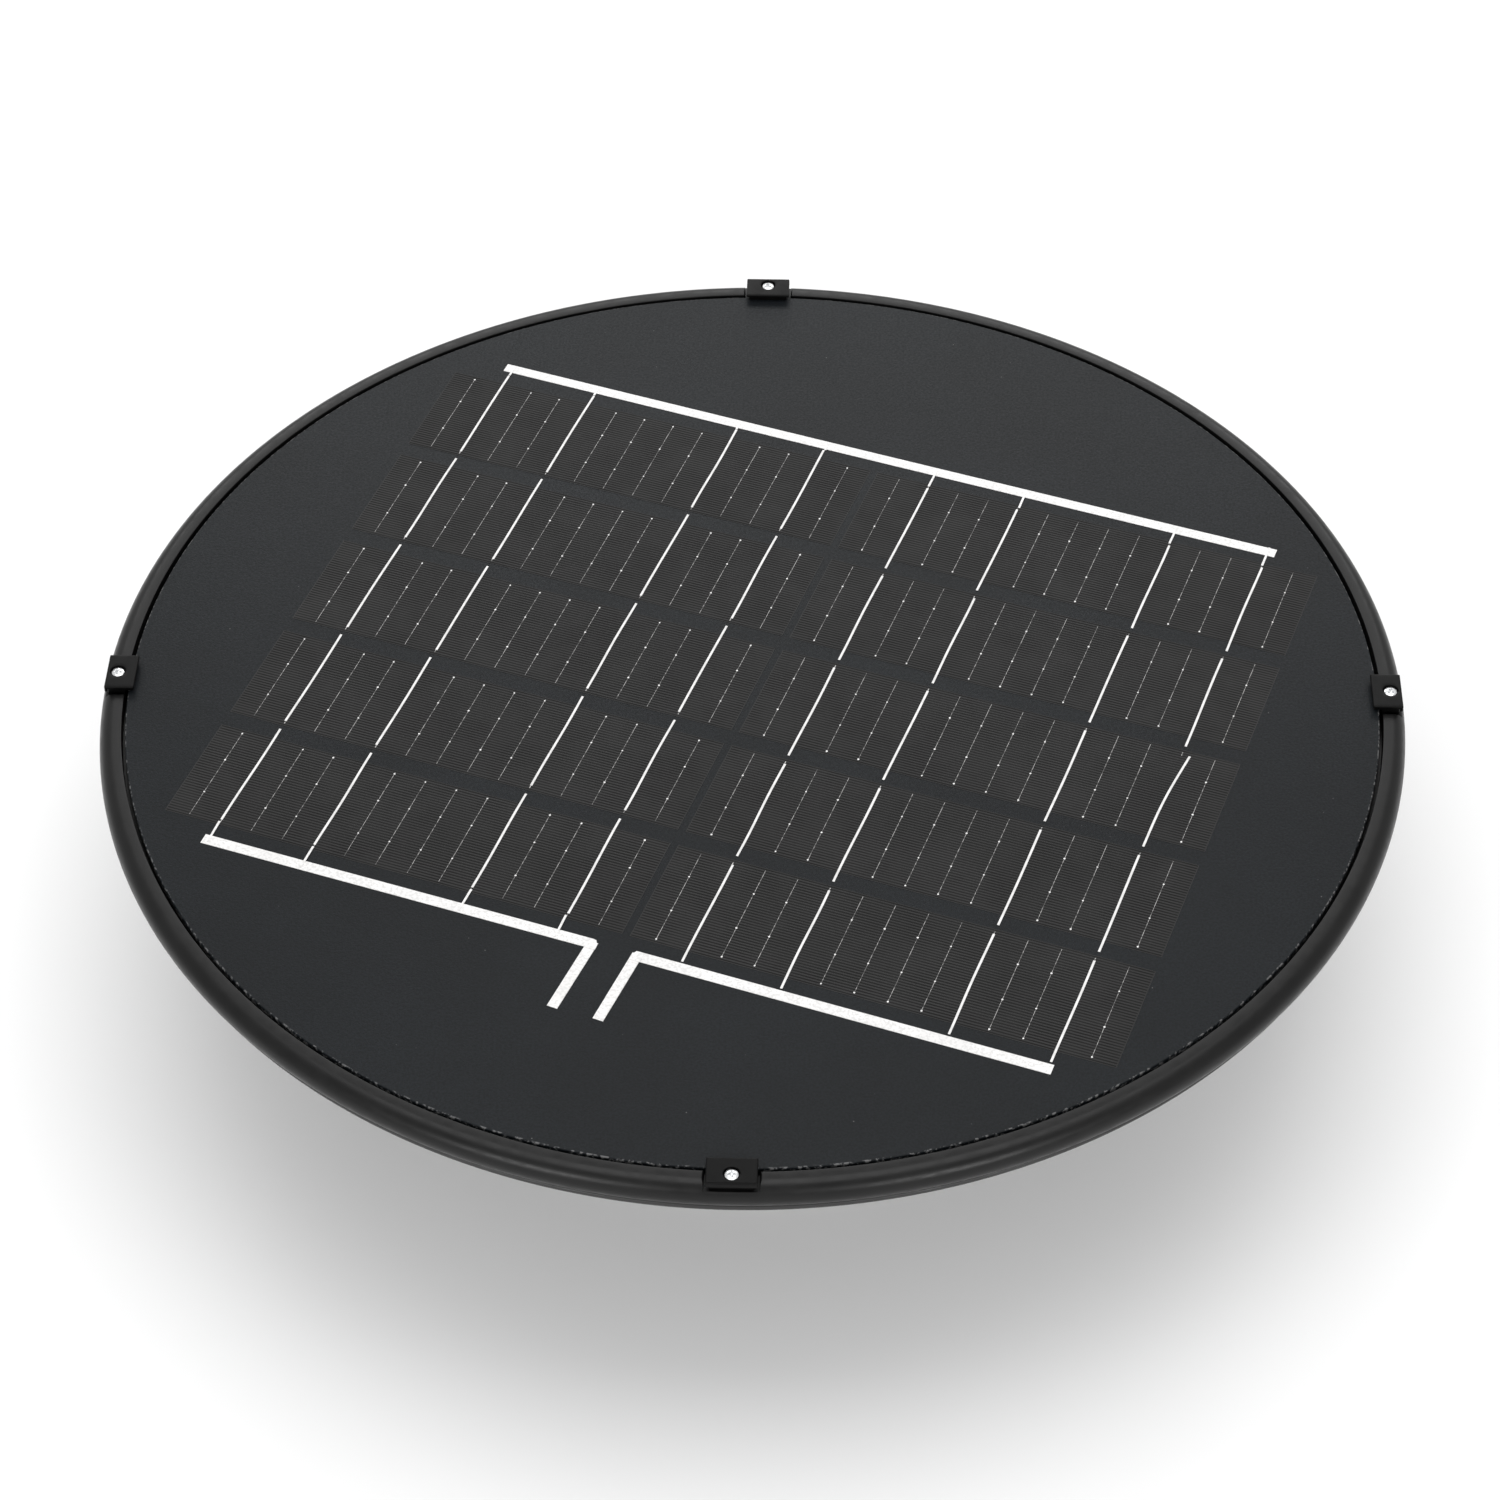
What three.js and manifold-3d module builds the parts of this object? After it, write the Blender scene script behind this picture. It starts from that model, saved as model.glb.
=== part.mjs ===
// Solar attic fan: a round vent head with a photovoltaic panel as its lid.
// Millimetres, +Z up. The origin is on the fan's axis, at the bottom edge of the duct.
// The panel clips sit on the X and Y axes; the cell grid is turned on the round panel.
import * as THREE from 'three';
import { mergeVertices } from 'three/addons/utils/BufferGeometryUtils.js';
import Module from 'manifold-3d';

const wasm = await Module();
wasm.setup();

// ---------------------------------------------------------------- driving dimensions
const CONTACT = 0.1;              // gap between two pieces that bear on each other
const SHEET = 1.5;                // aluminium sheet of the pan, duct and brackets

// duct and mounting flange
const DUCT_BORE_RADIUS = 156;
const DUCT_DROP = 50;             // duct below the mounting flange
const DUCT_RISE = 20;             // duct above the mounting flange
const DUCT_LIP = 16;              // width of the turned-out edge on top of the duct
const FLANGE_MARGIN = 28;         // flange past the insect screen
const FLANGE_THICKNESS = 2;
const FLANGE_HOLE_COUNT = 8;
const FLANGE_HOLE_RADIUS = 2.6;
const FLANGE_HOLE_INSET = 8;      // from the flange's edge to a hole's centre

// insect screen between the flange and the pan
const SCREEN_CLEARANCE = 6.5;     // from the duct's lip to the screen
const SCREEN_THICKNESS = 1.2;
const SCREEN_SLOTS = 24;
const SCREEN_SLOT_SHARE = 0.55;   // open share of each pitch
const SCREEN_MARGIN = 8;          // plain band above and below the slots

// hood pan under the panel
const EXHAUST_GAP = 40;           // from the duct's top to the pan
const DISH_DEPTH = 29;            // from the pan's floor to its seat
const CONE_RUN = 30;              // from the pan's floor outwards to its seat
const SEAT_WIDTH = 16;
const SEAT_INSET = 0.9;           // seat's outer edge inside the panel's edge
const LIP_REACH = 8.1;            // pan's hem past the panel's edge
const LIP_THICKNESS = 2.8;        // folded hem of the pan's edge
const LIP_GAP = 0.7;              // dark line between the rim and the pan's edge

// panel
const BOARD_THICKNESS = 4;
const GASKET_THICKNESS = 3;
const GASKET_WIDTH = 13;
const GASKET_INSET = 1.9;         // gasket's outer edge inside the panel's edge
const PANEL_MARGIN = 11.003;      // from the cell grid's corner to the panel's edge
const CELL_LENGTH = 209;
const CELL_WIDTH = 55.5;
const CELL_THICKNESS = 0.3;
const CELL_ROWS = 5;
const ROW_GAP = 8.4;
const COLUMN_GAP = 3.4;
const BUSBAR_COUNT = 14;
const BUSBAR_EDGE = 10.9;         // from a strip's end to its first busbar
const TABBED_BUSBARS = [2, 5, 10, 13];
const RIBBON_WIDTH = 1.1;
const RIBBON_THICKNESS = 0.15;
const RIBBON_OVERHANG = 5;        // ribbon past the cell's edge, towards the next cell
const RIBBON_INSET = 3;           // ribbon's other end, short of the cell's edge
const BUS_WIDTH = 5.3;
const BUS_END_INSET = 22.7;       // bus strip's outer end inside the grid's side
const BUS_GAP = 9.75;             // from the last strip's edge to a bus strip's middle
const BUS_TOP_TILT = -0.46;       // degrees, the far bus strip is laid slightly askew
const BUS_MIDDLE_GAP = 15;        // between the two near bus strips
const BUS_LEAD_WIDTH = 4.7;
const BUS_LEAD_LENGTH = 37.7;     // from a bus strip's middle to its lead's end
const GRID_TURN = -18.8;          // degrees, cell grid about the axis
const GRID_SHIFT_X = 2.4;         // the laminated grid sits a little off centre
const GRID_SHIFT_Y = -2.4;

// rim bead
const GROOVE = 1.6;               // between the panel's edge and the rim
const RIM_PROUD = 0.2;            // rim's flat shelf above the panel
const RIM_SHELF = 3.4;
const RIM_BEAD_RADIUS = 6.6;
const RIM_STEP_DEPTH = 6;         // rim's inner ledge below the panel's top
const RIM_FOOT_WIDTH = 3.4;
const RIM_FOOT_GAP = 0.5;         // from the pan's wall to the rim's foot

// panel clips and their screws
const CLIP_COUNT = 4;
const CLIP_WIDTH = 20.5;
const CLIP_OVERLAP = 2.9;         // clip's tongue over the panel's edge
const CLIP_REACH = 8.5;           // clip's body outwards from the rim's inner wall
const CLIP_PROUD = 3.5;           // clip's top above the panel
const CLIP_CHAMFER = 1;
const CLIP_PLATE = 1.3;           // clip's top plate, wider than the body under it
const CLIP_SKIRT = 3.2;           // turned-down outer edge of the plate
const CLIP_SKIRT_WALL = 1.2;
const CLIP_UNDERCUT = 1.2;        // body back from the plate's edges
const NOTCH_DEPTH = 2.5;          // notch in the rim, below its shelf
const NOTCH_GAP = 0.8;            // notch past the clip on each side
const CLIP_SCREW_OFFSET = 3.7;    // screw's axis outwards from the rim's inner wall
const CLIP_SCREW_RADIUS = 1.5;
const CLIP_SCREW_HEAD_RADIUS = 2.75;
const CLIP_SCREW_HEAD_HEIGHT = 1.7;
const CLIP_SCREW_LENGTH = 11;
const CLIP_BORE_GAP = 0.7;        // counterbore past the screw's head
const CLIP_BORE_DEPTH = 2;

// brackets that carry the hood
const HOOD_BRACKET_COUNT = 4;
const HOOD_BRACKET_WIDTH = 30;
const HOOD_BRACKET_DEPTH = 21;
const HOOD_BRACKET_CLEARANCE = 3; // from the insect screen to a bracket's web
const HOOD_SCREW_RADIUS = 2.1;
const HOOD_SCREW_HEAD_RADIUS = 4;
const HOOD_SCREW_HEAD_HEIGHT = 2.4;
const SCREW_GAP = 0.2;            // radial gap round a screw's shank

// motor
const MOTOR_RADIUS = 42;
const MOTOR_HEIGHT = 33;
const MOTOR_WALL = 2;
const END_CAP_THICKNESS = 3;
const END_CAP_BOSS_RADIUS = 13;
const END_CAP_BOSS_DROP = 4;
const STATOR_GAP = 0.4;           // from the can's wall to the stator
const STATOR_INNER = 26;
const STATOR_HEIGHT = 13;
const AIR_GAP = 0.6;
const SHAFT_RADIUS = 4;
const SHAFT_GAP = 0.05;           // running fit and press fit, drawn with the same gap
const BEARING_RADIUS = 11;
const BEARING_HEIGHT = 7;
const BEARING_SEAT_GAP = 0.05;
const MOTOR_SPIGOT_GAP = 0.3;     // end cap inside the housing
const MOTOR_BRACKET_THICKNESS = 3;
const MOTOR_BRACKET_ARM = 26;
const MOTOR_BRACKET_DISC = 50;
const BRACKET_SCREW_INSET = 7;    // from an arm's end to its screw
const BRACKET_ARM_INSET = 2;      // arm's end inside the duct's lip
const STATOR_RISE = 1;            // stator above the lower bearing's boss
const SPIGOT_RISE = 2;
const SPIGOT_WALL = 2;
const CAN_CHAMFER = 2;
const SHAFT_CLEARANCE = 1;        // end cap's bore past the shaft

// fan
const TIP_CLEARANCE = 6;
const FAN_BELOW_DUCT_TOP = 24;    // middle of the blades below the duct's top
const BLADE_COUNT = 5;
const BLADE_THICKNESS = 1.6;
const BLADE_ROOT_RADIUS = 26;
const BLADE_ROOT_CHORD = 30;
const BLADE_TIP_CHORD_SHARE = 98 / 156;     // of the duct's bore radius
const BLADE_ROOT_PITCH = 29;      // degrees
const BLADE_TIP_PITCH = 21;       // degrees
const BLADE_CAMBER = 0.05;        // share of the chord
const TIP_CORNER_START = 0.86;    // share of the blade where its tip begins to narrow
const TIP_CORNER = 0.3;           // share of the chord that the tip loses
const TWIST_START = 0.1;          // share of the blade that stays flat on the plate
const TWIST_RUN = 0.24;           // share over which the pitch comes in
const FAN_PLATE_RADIUS = 40;
const HUB_BOSS_RADIUS = 12;
const HUB_FLANGE_RADIUS = 24;
const HUB_FLANGE_THICKNESS = 3.4;
const HUB_DROP = 6.5;             // hub's boss below the fan's plate
const HUB_RISE = 6;               // hub's boss above its flange
const NUT_RADIUS = 7.5;
const NUT_HEIGHT = 6;
const SHAFT_TAIL = 2;             // shaft past the nut

// junction box and lead
const BOX_LENGTH = 52;
const BOX_WIDTH = 34;
const BOX_HEIGHT = 15;
const BOX_WALL = 2;
const BOX_LID_THICKNESS = 2;
const LID_PLUG_GAP = 0.2;
const LID_PLUG_RISE = 2;
const LEAD_RADIUS = 2.5;
const LEAD_GAP = 0.3;
const GROMMET_CLEARANCE = 33;     // from the motor's side to the grommet
const GROMMET_RADIUS = 7;
const GROMMET_FLANGE = 2.5;
const GROMMET_LIP = 1.8;
const LEAD_EXIT_DROP = 7;         // first fall of the lead outside the box
const LEAD_HUMP = 11;             // lead's arch above the pan, next to the grommet
const LEAD_BEND = 20;             // from the grommet to the lead's level run into the motor
const MOTOR_INLET_DROP = 13;      // lead's inlet below the motor's roof

// facets
const FINE = 48;
const MEDIUM = 24;
const SMALL = 10;

// ---------------------------------------------------------------- derived levels and radii
const rowPitch = CELL_WIDTH + ROW_GAP;
const busbarPitch = (CELL_LENGTH - 2 * BUSBAR_EDGE) / (BUSBAR_COUNT - 1);
const gridHalfLength = CELL_LENGTH + COLUMN_GAP / 2;
const gridHalfWidth = ((CELL_ROWS - 1) * rowPitch + CELL_WIDTH) / 2;
const boardRadius = Math.hypot(gridHalfLength, gridHalfWidth) + PANEL_MARGIN;
const busReach = gridHalfLength - BUS_END_INSET;
const busOffset = gridHalfWidth + BUS_GAP;
const busLeadReach = busOffset + BUS_LEAD_LENGTH;
const flangeBottom = DUCT_DROP;
const flangeTop = flangeBottom + FLANGE_THICKNESS;
const ductTop = flangeTop + DUCT_RISE;
const ductOuter = DUCT_BORE_RADIUS + SHEET;
const ductLipRadius = ductOuter + DUCT_LIP;
const screenInner = ductLipRadius + SCREEN_CLEARANCE;
const screenOuter = screenInner + SCREEN_THICKNESS;
const flangeRadius = screenInner + FLANGE_MARGIN;
const panBottom = ductTop + EXHAUST_GAP;
const panFloor = panBottom + SHEET;
const panSeat = panFloor + DISH_DEPTH;
const seatOuter = boardRadius - SEAT_INSET;
const seatInner = seatOuter - SEAT_WIDTH;
const panFloorRadius = seatInner - CONE_RUN;
const lipRadius = boardRadius + LIP_REACH;
const gasketOuter = boardRadius - GASKET_INSET;
const gasketInner = gasketOuter - GASKET_WIDTH;
const gasketBottom = panSeat + CONTACT;
const boardBottom = gasketBottom + GASKET_THICKNESS + CONTACT;
const boardTop = boardBottom + BOARD_THICKNESS;
const cellBottom = boardTop + CONTACT / 2;
const cellTop = cellBottom + CELL_THICKNESS;
const busBottom = boardTop + CONTACT / 2;
const rimInner = boardRadius + GROOVE;
const rimTop = boardTop + RIM_PROUD;
const rimBeadCentre = rimInner + RIM_SHELF;
const rimBottom = rimTop - 2 * RIM_BEAD_RADIUS;
const lipTop = rimBottom - LIP_GAP;
const notchFloor = rimTop - NOTCH_DEPTH;
const clipTop = boardTop + CLIP_PROUD;
const clipScrewDistance = rimInner + CLIP_SCREW_OFFSET;
const bracketTop = ductTop + CONTACT + MOTOR_BRACKET_THICKNESS;
const motorBottom = bracketTop + CONTACT;
const motorTop = motorBottom + MOTOR_HEIGHT;
const fanMiddle = ductTop - FAN_BELOW_DUCT_TOP;
const bladeTipRadius = DUCT_BORE_RADIUS - TIP_CLEARANCE;
const bladeTipChord = DUCT_BORE_RADIUS * BLADE_TIP_CHORD_SHARE;
const grommetDistance = MOTOR_RADIUS + GROMMET_CLEARANCE;
const hubFlangeBottom = fanMiddle + BLADE_THICKNESS / 2 + CONTACT;
const hubBottom = fanMiddle - BLADE_THICKNESS / 2 - HUB_DROP;
const hubTop = hubFlangeBottom + HUB_FLANGE_THICKNESS + HUB_RISE;
const nutTop = hubBottom - CONTACT;
const hoodBracketWeb = screenOuter + HOOD_BRACKET_CLEARANCE;
const hoodScrewDistance = hoodBracketWeb + (HOOD_BRACKET_DEPTH + SHEET) / 2;
const endCapTop = motorBottom + END_CAP_THICKNESS + BEARING_HEIGHT;
const statorOuter = MOTOR_RADIUS - MOTOR_WALL - STATOR_GAP;
const statorBottom = endCapTop + STATOR_RISE;
const upperBearingTop = motorTop - MOTOR_WALL - CONTACT;

const degrees = THREE.MathUtils.degToRad;

// ---------------------------------------------------------------- colours and finishes
const finishes = {
  blackPowderCoat: [0x24262a, 0.5, 0.3],
  blackMoulding: [0x1d1e20, 0.45, 0.0],
  mill: [0xb4b8bc, 0.4, 0.9],
  galvanised: [0x9ea3a6, 0.5, 0.8],
  laminate: [0x3e3f41, 0.5, 0.0],
  cell: [0x17181c, 0.35, 0.2],
  tinnedCopper: [0xb9bdc0, 0.35, 0.9],
  blackPlastic: [0x1b1c1e, 0.45, 0.0],
  foam: [0x141414, 0.95, 0.0],
  rubber: [0x161616, 0.8, 0.0],
  zincPlated: [0xd6d9dc, 0.3, 0.9],
  steel: [0x8c9095, 0.35, 0.9],
  copperWinding: [0x9a5a32, 0.5, 0.7],
};

function finish(name) {
  const [color, roughness, metalness] = finishes[name];
  return new THREE.MeshStandardMaterial({ color, roughness, metalness });
}

// ---------------------------------------------------------------- solids
// A closed geometry with shared corners, no flat triangles, and its faces turned outwards.
function closed(source) {
  const bare = source.clone();
  bare.deleteAttribute('normal');
  bare.deleteAttribute('uv');
  const merged = mergeVertices(bare, 1e-3);
  const corner = merged.getAttribute('position');
  const index = Array.from(merged.getIndex().array);
  const kept = [];
  let volume = 0;
  for (let i = 0; i < index.length; i += 3) {
    const [a, b, c] = index.slice(i, i + 3);
    if (a === b || b === c || c === a) continue;
    kept.push(a, b, c);
    const va = new THREE.Vector3().fromBufferAttribute(corner, a);
    const vb = new THREE.Vector3().fromBufferAttribute(corner, b);
    const vc = new THREE.Vector3().fromBufferAttribute(corner, c);
    volume += va.dot(vb.cross(vc));
  }
  if (volume < 0) kept.reverse();
  merged.setIndex(kept);
  return merged;
}

function solid(geometry) {
  const whole = closed(geometry);
  const vertProperties = new Float32Array(whole.getAttribute('position').array);
  const triVerts = new Uint32Array(whole.getIndex().array);
  return new wasm.Manifold(new wasm.Mesh({ numProp: 3, vertProperties, triVerts }));
}

function geometryOf(manifold) {
  const { vertProperties, triVerts } = manifold.getMesh();
  const geometry = new THREE.BufferGeometry();
  geometry.setAttribute('position', new THREE.BufferAttribute(vertProperties, 3));
  geometry.setIndex(new THREE.BufferAttribute(triVerts, 1));
  return geometry;
}

function join(first, ...others) {
  return geometryOf(others.reduce((whole, piece) => whole.add(solid(piece)), solid(first)));
}

function cut(first, ...others) {
  return geometryOf(others.reduce((whole, piece) => whole.subtract(solid(piece)), solid(first)));
}

// A profile of [radius, height] points turned about the Z axis.
function revolve(profile, segments) {
  const points = profile.map(([radius, height]) => new THREE.Vector2(radius, height));
  return closed(new THREE.LatheGeometry(points, segments).rotateX(Math.PI / 2));
}

function closedProfile(points) {
  return [...points, points[0]];
}

function tube(inner, outer, bottom, top, segments) {
  return revolve(closedProfile([[inner, bottom], [outer, bottom], [outer, top], [inner, top]]), segments);
}

function disc(radius, bottom, top, segments) {
  return revolve([[0, bottom], [radius, bottom], [radius, top], [0, top]], segments);
}

function block(x0, x1, y0, y1, z0, z1) {
  const box = new THREE.BoxGeometry(x1 - x0, y1 - y0, z1 - z0);
  return box.translate((x0 + x1) / 2, (y0 + y1) / 2, (z0 + z1) / 2);
}

// Points of an arc round a centre, from one angle to another, both in degrees.
function arc(centreRadius, centreHeight, radius, from, to, steps) {
  return Array.from({ length: steps + 1 }, (_, i) => {
    const angle = degrees(from + ((to - from) * i) / steps);
    return [centreRadius + radius * Math.cos(angle), centreHeight + radius * Math.sin(angle)];
  });
}

// A thin sheet over a grid: place(u, v) gives its middle surface for u and v from 0 to 1.
function sheet(place, columns, rows, thickness) {
  const step = 1e-3;
  const corners = [];
  for (const side of [0.5, -0.5]) {
    for (let j = 0; j <= rows; j += 1) {
      for (let i = 0; i <= columns; i += 1) {
        const u = i / columns;
        const v = j / rows;
        const along = place(u + step, v).sub(place(u - step, v));
        const across = place(u, v + step).sub(place(u, v - step));
        const normal = along.cross(across).normalize();
        corners.push(place(u, v).addScaledVector(normal, side * thickness));
      }
    }
  }
  const row = columns + 1;
  const back = row * (rows + 1);
  const index = [];
  const quad = (a, b, c, d) => index.push(a, b, c, a, c, d);
  for (let j = 0; j < rows; j += 1) {
    for (let i = 0; i < columns; i += 1) {
      const a = j * row + i;
      quad(a, a + 1, a + 1 + row, a + row);
      quad(back + a, back + a + row, back + a + 1 + row, back + a + 1);
    }
  }
  for (let i = 0; i < columns; i += 1) {
    const far = rows * row + i;
    quad(i, back + i, back + i + 1, i + 1);
    quad(far, far + 1, back + far + 1, back + far);
  }
  for (let j = 0; j < rows; j += 1) {
    const a = j * row;
    const b = a + columns;
    quad(a, a + row, back + a + row, back + a);
    quad(b, back + b, back + b + row, b + row);
  }
  const geometry = new THREE.BufferGeometry();
  geometry.setAttribute('position', new THREE.Float32BufferAttribute(corners.flatMap((p) => p.toArray()), 3));
  geometry.setIndex(index);
  return closed(geometry);
}

// A screw with its axis on Z, its head's underside at the given height and its shank below.
function screw(headRadius, headHeight, shankRadius, length, seat) {
  return revolve([
    [0, seat - length],
    [shankRadius * 0.5, seat - length],
    [shankRadius, seat - length + shankRadius],
    [shankRadius, seat],
    [headRadius, seat],
    [headRadius, seat + headHeight * 0.45],
    [headRadius * 0.6, seat + headHeight],
    [0, seat + headHeight],
  ], SMALL);
}

const fan = new THREE.Group();

function add(name, geometry, finishName, parent = fan) {
  const mesh = new THREE.Mesh(closed(geometry), finish(finishName));
  mesh.name = name;
  parent.add(mesh);
  return mesh;
}

// A group turned about the Z axis by an angle in degrees.
function turned(angle) {
  const group = new THREE.Group();
  group.rotation.z = degrees(angle);
  fan.add(group);
  return group;
}

// ---------------------------------------------------------------- duct, flange and screen
function addDuct() {
  add('duct', revolve(closedProfile([
    [DUCT_BORE_RADIUS, 0],
    [ductOuter, 0],
    [ductOuter, ductTop - SHEET],
    [ductLipRadius, ductTop - SHEET],
    [ductLipRadius, ductTop],
    [DUCT_BORE_RADIUS, ductTop],
  ]), FINE), 'mill');
}

function addFlange() {
  const plate = tube(ductOuter + CONTACT, flangeRadius, flangeBottom, flangeTop, FINE);
  const holes = [];
  const distance = flangeRadius - FLANGE_HOLE_INSET;
  const through = FLANGE_THICKNESS + 2;
  for (let i = 0; i < FLANGE_HOLE_COUNT; i += 1) {
    const angle = (2 * Math.PI * (i + 0.25)) / FLANGE_HOLE_COUNT;
    const hole = disc(FLANGE_HOLE_RADIUS, flangeBottom - 1, flangeBottom - 1 + through, SMALL);
    holes.push(hole.translate(distance * Math.cos(angle), distance * Math.sin(angle), 0));
  }
  for (let i = 0; i < HOOD_BRACKET_COUNT; i += 1) {
    const angle = degrees((360 * (i + 0.5)) / HOOD_BRACKET_COUNT);
    const hole = disc(HOOD_SCREW_RADIUS + SCREW_GAP, flangeBottom - 1, flangeBottom - 1 + through, SMALL);
    holes.push(hole.translate(hoodScrewDistance * Math.cos(angle), hoodScrewDistance * Math.sin(angle), 0));
  }
  add('base_flange', cut(plate, ...holes), 'blackPowderCoat');
}

function addScreen() {
  const bottom = flangeTop + CONTACT;
  const top = panBottom - CONTACT;
  const band = tube(screenInner, screenOuter, bottom, top, SCREEN_SLOTS * 2);
  const pitch = (2 * Math.PI * screenInner) / SCREEN_SLOTS;
  const half = (pitch * SCREEN_SLOT_SHARE) / 2;
  const slots = [];
  for (let i = 0; i < SCREEN_SLOTS; i += 1) {
    const slot = block(
      screenInner - 5, screenOuter + 5, -half, half, bottom + SCREEN_MARGIN, top - SCREEN_MARGIN);
    slots.push(slot.rotateZ((2 * Math.PI * i) / SCREEN_SLOTS));
  }
  add('insect_screen', cut(band, ...slots), 'galvanised');
}

// ---------------------------------------------------------------- hood
function addPan() {
  const wall = seatOuter - SHEET;
  const lipBottom = lipTop - LIP_THICKNESS;
  const pan = revolve([
    [0, panFloor],
    [panFloorRadius, panFloor],
    [seatInner, panSeat],
    [seatOuter, panSeat],
    [seatOuter, lipTop],
    [lipRadius, lipTop],
    [lipRadius, lipBottom],
    [wall, lipBottom],
    [wall, panSeat - SHEET],
    [seatInner + SHEET / 2, panSeat - SHEET],
    [panFloorRadius + SHEET / 2, panBottom],
    [0, panBottom],
  ], FINE);
  const holes = [];
  for (let i = 0; i < HOOD_BRACKET_COUNT; i += 1) {
    const angle = degrees((360 * (i + 0.5)) / HOOD_BRACKET_COUNT);
    const hole = disc(HOOD_SCREW_RADIUS + SCREW_GAP, panBottom - 1, panFloor + 1, SMALL);
    holes.push(hole.translate(hoodScrewDistance * Math.cos(angle), hoodScrewDistance * Math.sin(angle), 0));
  }
  const grommetHole = disc(GROMMET_RADIUS, panBottom - 1, panFloor + 1, SMALL);
  holes.push(grommetHole.translate(grommetDistance, 0, 0).rotateZ(leadAngle));
  for (let i = 0; i < CLIP_COUNT; i += 1) {
    const hole = disc(CLIP_SCREW_RADIUS + SCREW_GAP, lipBottom - 1, lipTop + 1, SMALL);
    holes.push(hole.translate(clipScrewDistance, 0, 0).rotateZ((2 * Math.PI * i) / CLIP_COUNT));
  }
  add('hood_pan', cut(pan, ...holes), 'blackPowderCoat');
}

function addRim() {
  const ledge = boardTop - RIM_STEP_DEPTH;
  const foot = seatOuter + RIM_FOOT_GAP;
  const ring = revolve(closedProfile([
    [rimInner, rimTop],
    ...arc(rimBeadCentre, rimTop - RIM_BEAD_RADIUS, RIM_BEAD_RADIUS, 90, -90, 8),
    [foot + RIM_FOOT_WIDTH, rimBottom],
    [foot + RIM_FOOT_WIDTH, lipTop + CONTACT],
    [foot, lipTop + CONTACT],
    [foot, ledge],
    [rimInner, ledge],
  ]), FINE);
  const half = CLIP_WIDTH / 2 + NOTCH_GAP;
  const cuts = [];
  for (let i = 0; i < CLIP_COUNT; i += 1) {
    const angle = (2 * Math.PI * i) / CLIP_COUNT;
    const notch = block(rimInner - 3, lipRadius + 9, -half, half, notchFloor, rimTop + 3);
    const hole = disc(CLIP_SCREW_RADIUS + SCREW_GAP, lipTop - 1, rimTop + 1, SMALL);
    cuts.push(notch.rotateZ(angle), hole.translate(clipScrewDistance, 0, 0).rotateZ(angle));
  }
  add('rim_ring', cut(ring, ...cuts), 'blackMoulding');
}

function addHoodBrackets() {
  const outer = hoodBracketWeb + HOOD_BRACKET_DEPTH;
  const half = HOOD_BRACKET_WIDTH / 2;
  const bottom = flangeTop + CONTACT;
  const top = panBottom - CONTACT;
  const hole = HOOD_SCREW_RADIUS + SCREW_GAP;
  const holeAt = (low, high) => disc(hole, low, high, SMALL).translate(hoodScrewDistance, 0, 0);
  for (let i = 0; i < HOOD_BRACKET_COUNT; i += 1) {
    const group = turned((360 * (i + 0.5)) / HOOD_BRACKET_COUNT);
    const web = block(hoodBracketWeb, hoodBracketWeb + SHEET, -half, half, bottom, top);
    const foot = block(hoodBracketWeb, outer, -half, half, bottom, bottom + SHEET);
    const head = block(hoodBracketWeb, outer, -half, half, top - SHEET, top);
    const bracket = cut(join(web, foot, head), holeAt(bottom - 1, bottom + 5), holeAt(top - 5, top + 1));
    add(`hood_bracket_${i + 1}`, bracket, 'mill', group);
    const footSeat = bottom + SHEET + CONTACT;
    const footLength = footSeat - flangeBottom - CONTACT;
    const footScrew = screw(
      HOOD_SCREW_HEAD_RADIUS, HOOD_SCREW_HEAD_HEIGHT, HOOD_SCREW_RADIUS, footLength, footSeat);
    add(`foot_screw_${i + 1}`, footScrew.translate(hoodScrewDistance, 0, 0), 'zincPlated', group);
    const headScrewLength = panFloor - panBottom + SHEET + 2 * CONTACT + 4;
    const headScrew = screw(
      HOOD_SCREW_HEAD_RADIUS, HOOD_SCREW_HEAD_HEIGHT, HOOD_SCREW_RADIUS, headScrewLength, 0);
    headScrew.rotateX(Math.PI);
    headScrew.translate(hoodScrewDistance, 0, top - SHEET - CONTACT);
    add(`head_screw_${i + 1}`, headScrew, 'zincPlated', group);
  }
}

// ---------------------------------------------------------------- panel
function addBoard() {
  const edge = 0.4;
  add('pv_board', revolve([
    [0, boardBottom],
    [boardRadius, boardBottom],
    [boardRadius, boardTop - edge],
    [boardRadius - edge, boardTop],
    [0, boardTop],
  ], FINE), 'laminate');
  const gasketTop = gasketBottom + GASKET_THICKNESS;
  add('panel_gasket', tube(gasketInner, gasketOuter, gasketBottom, gasketTop, FINE), 'foam');
}

function gridGroup() {
  const group = turned(GRID_TURN);
  group.position.set(GRID_SHIFT_X, GRID_SHIFT_Y, 0);
  return group;
}

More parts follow.
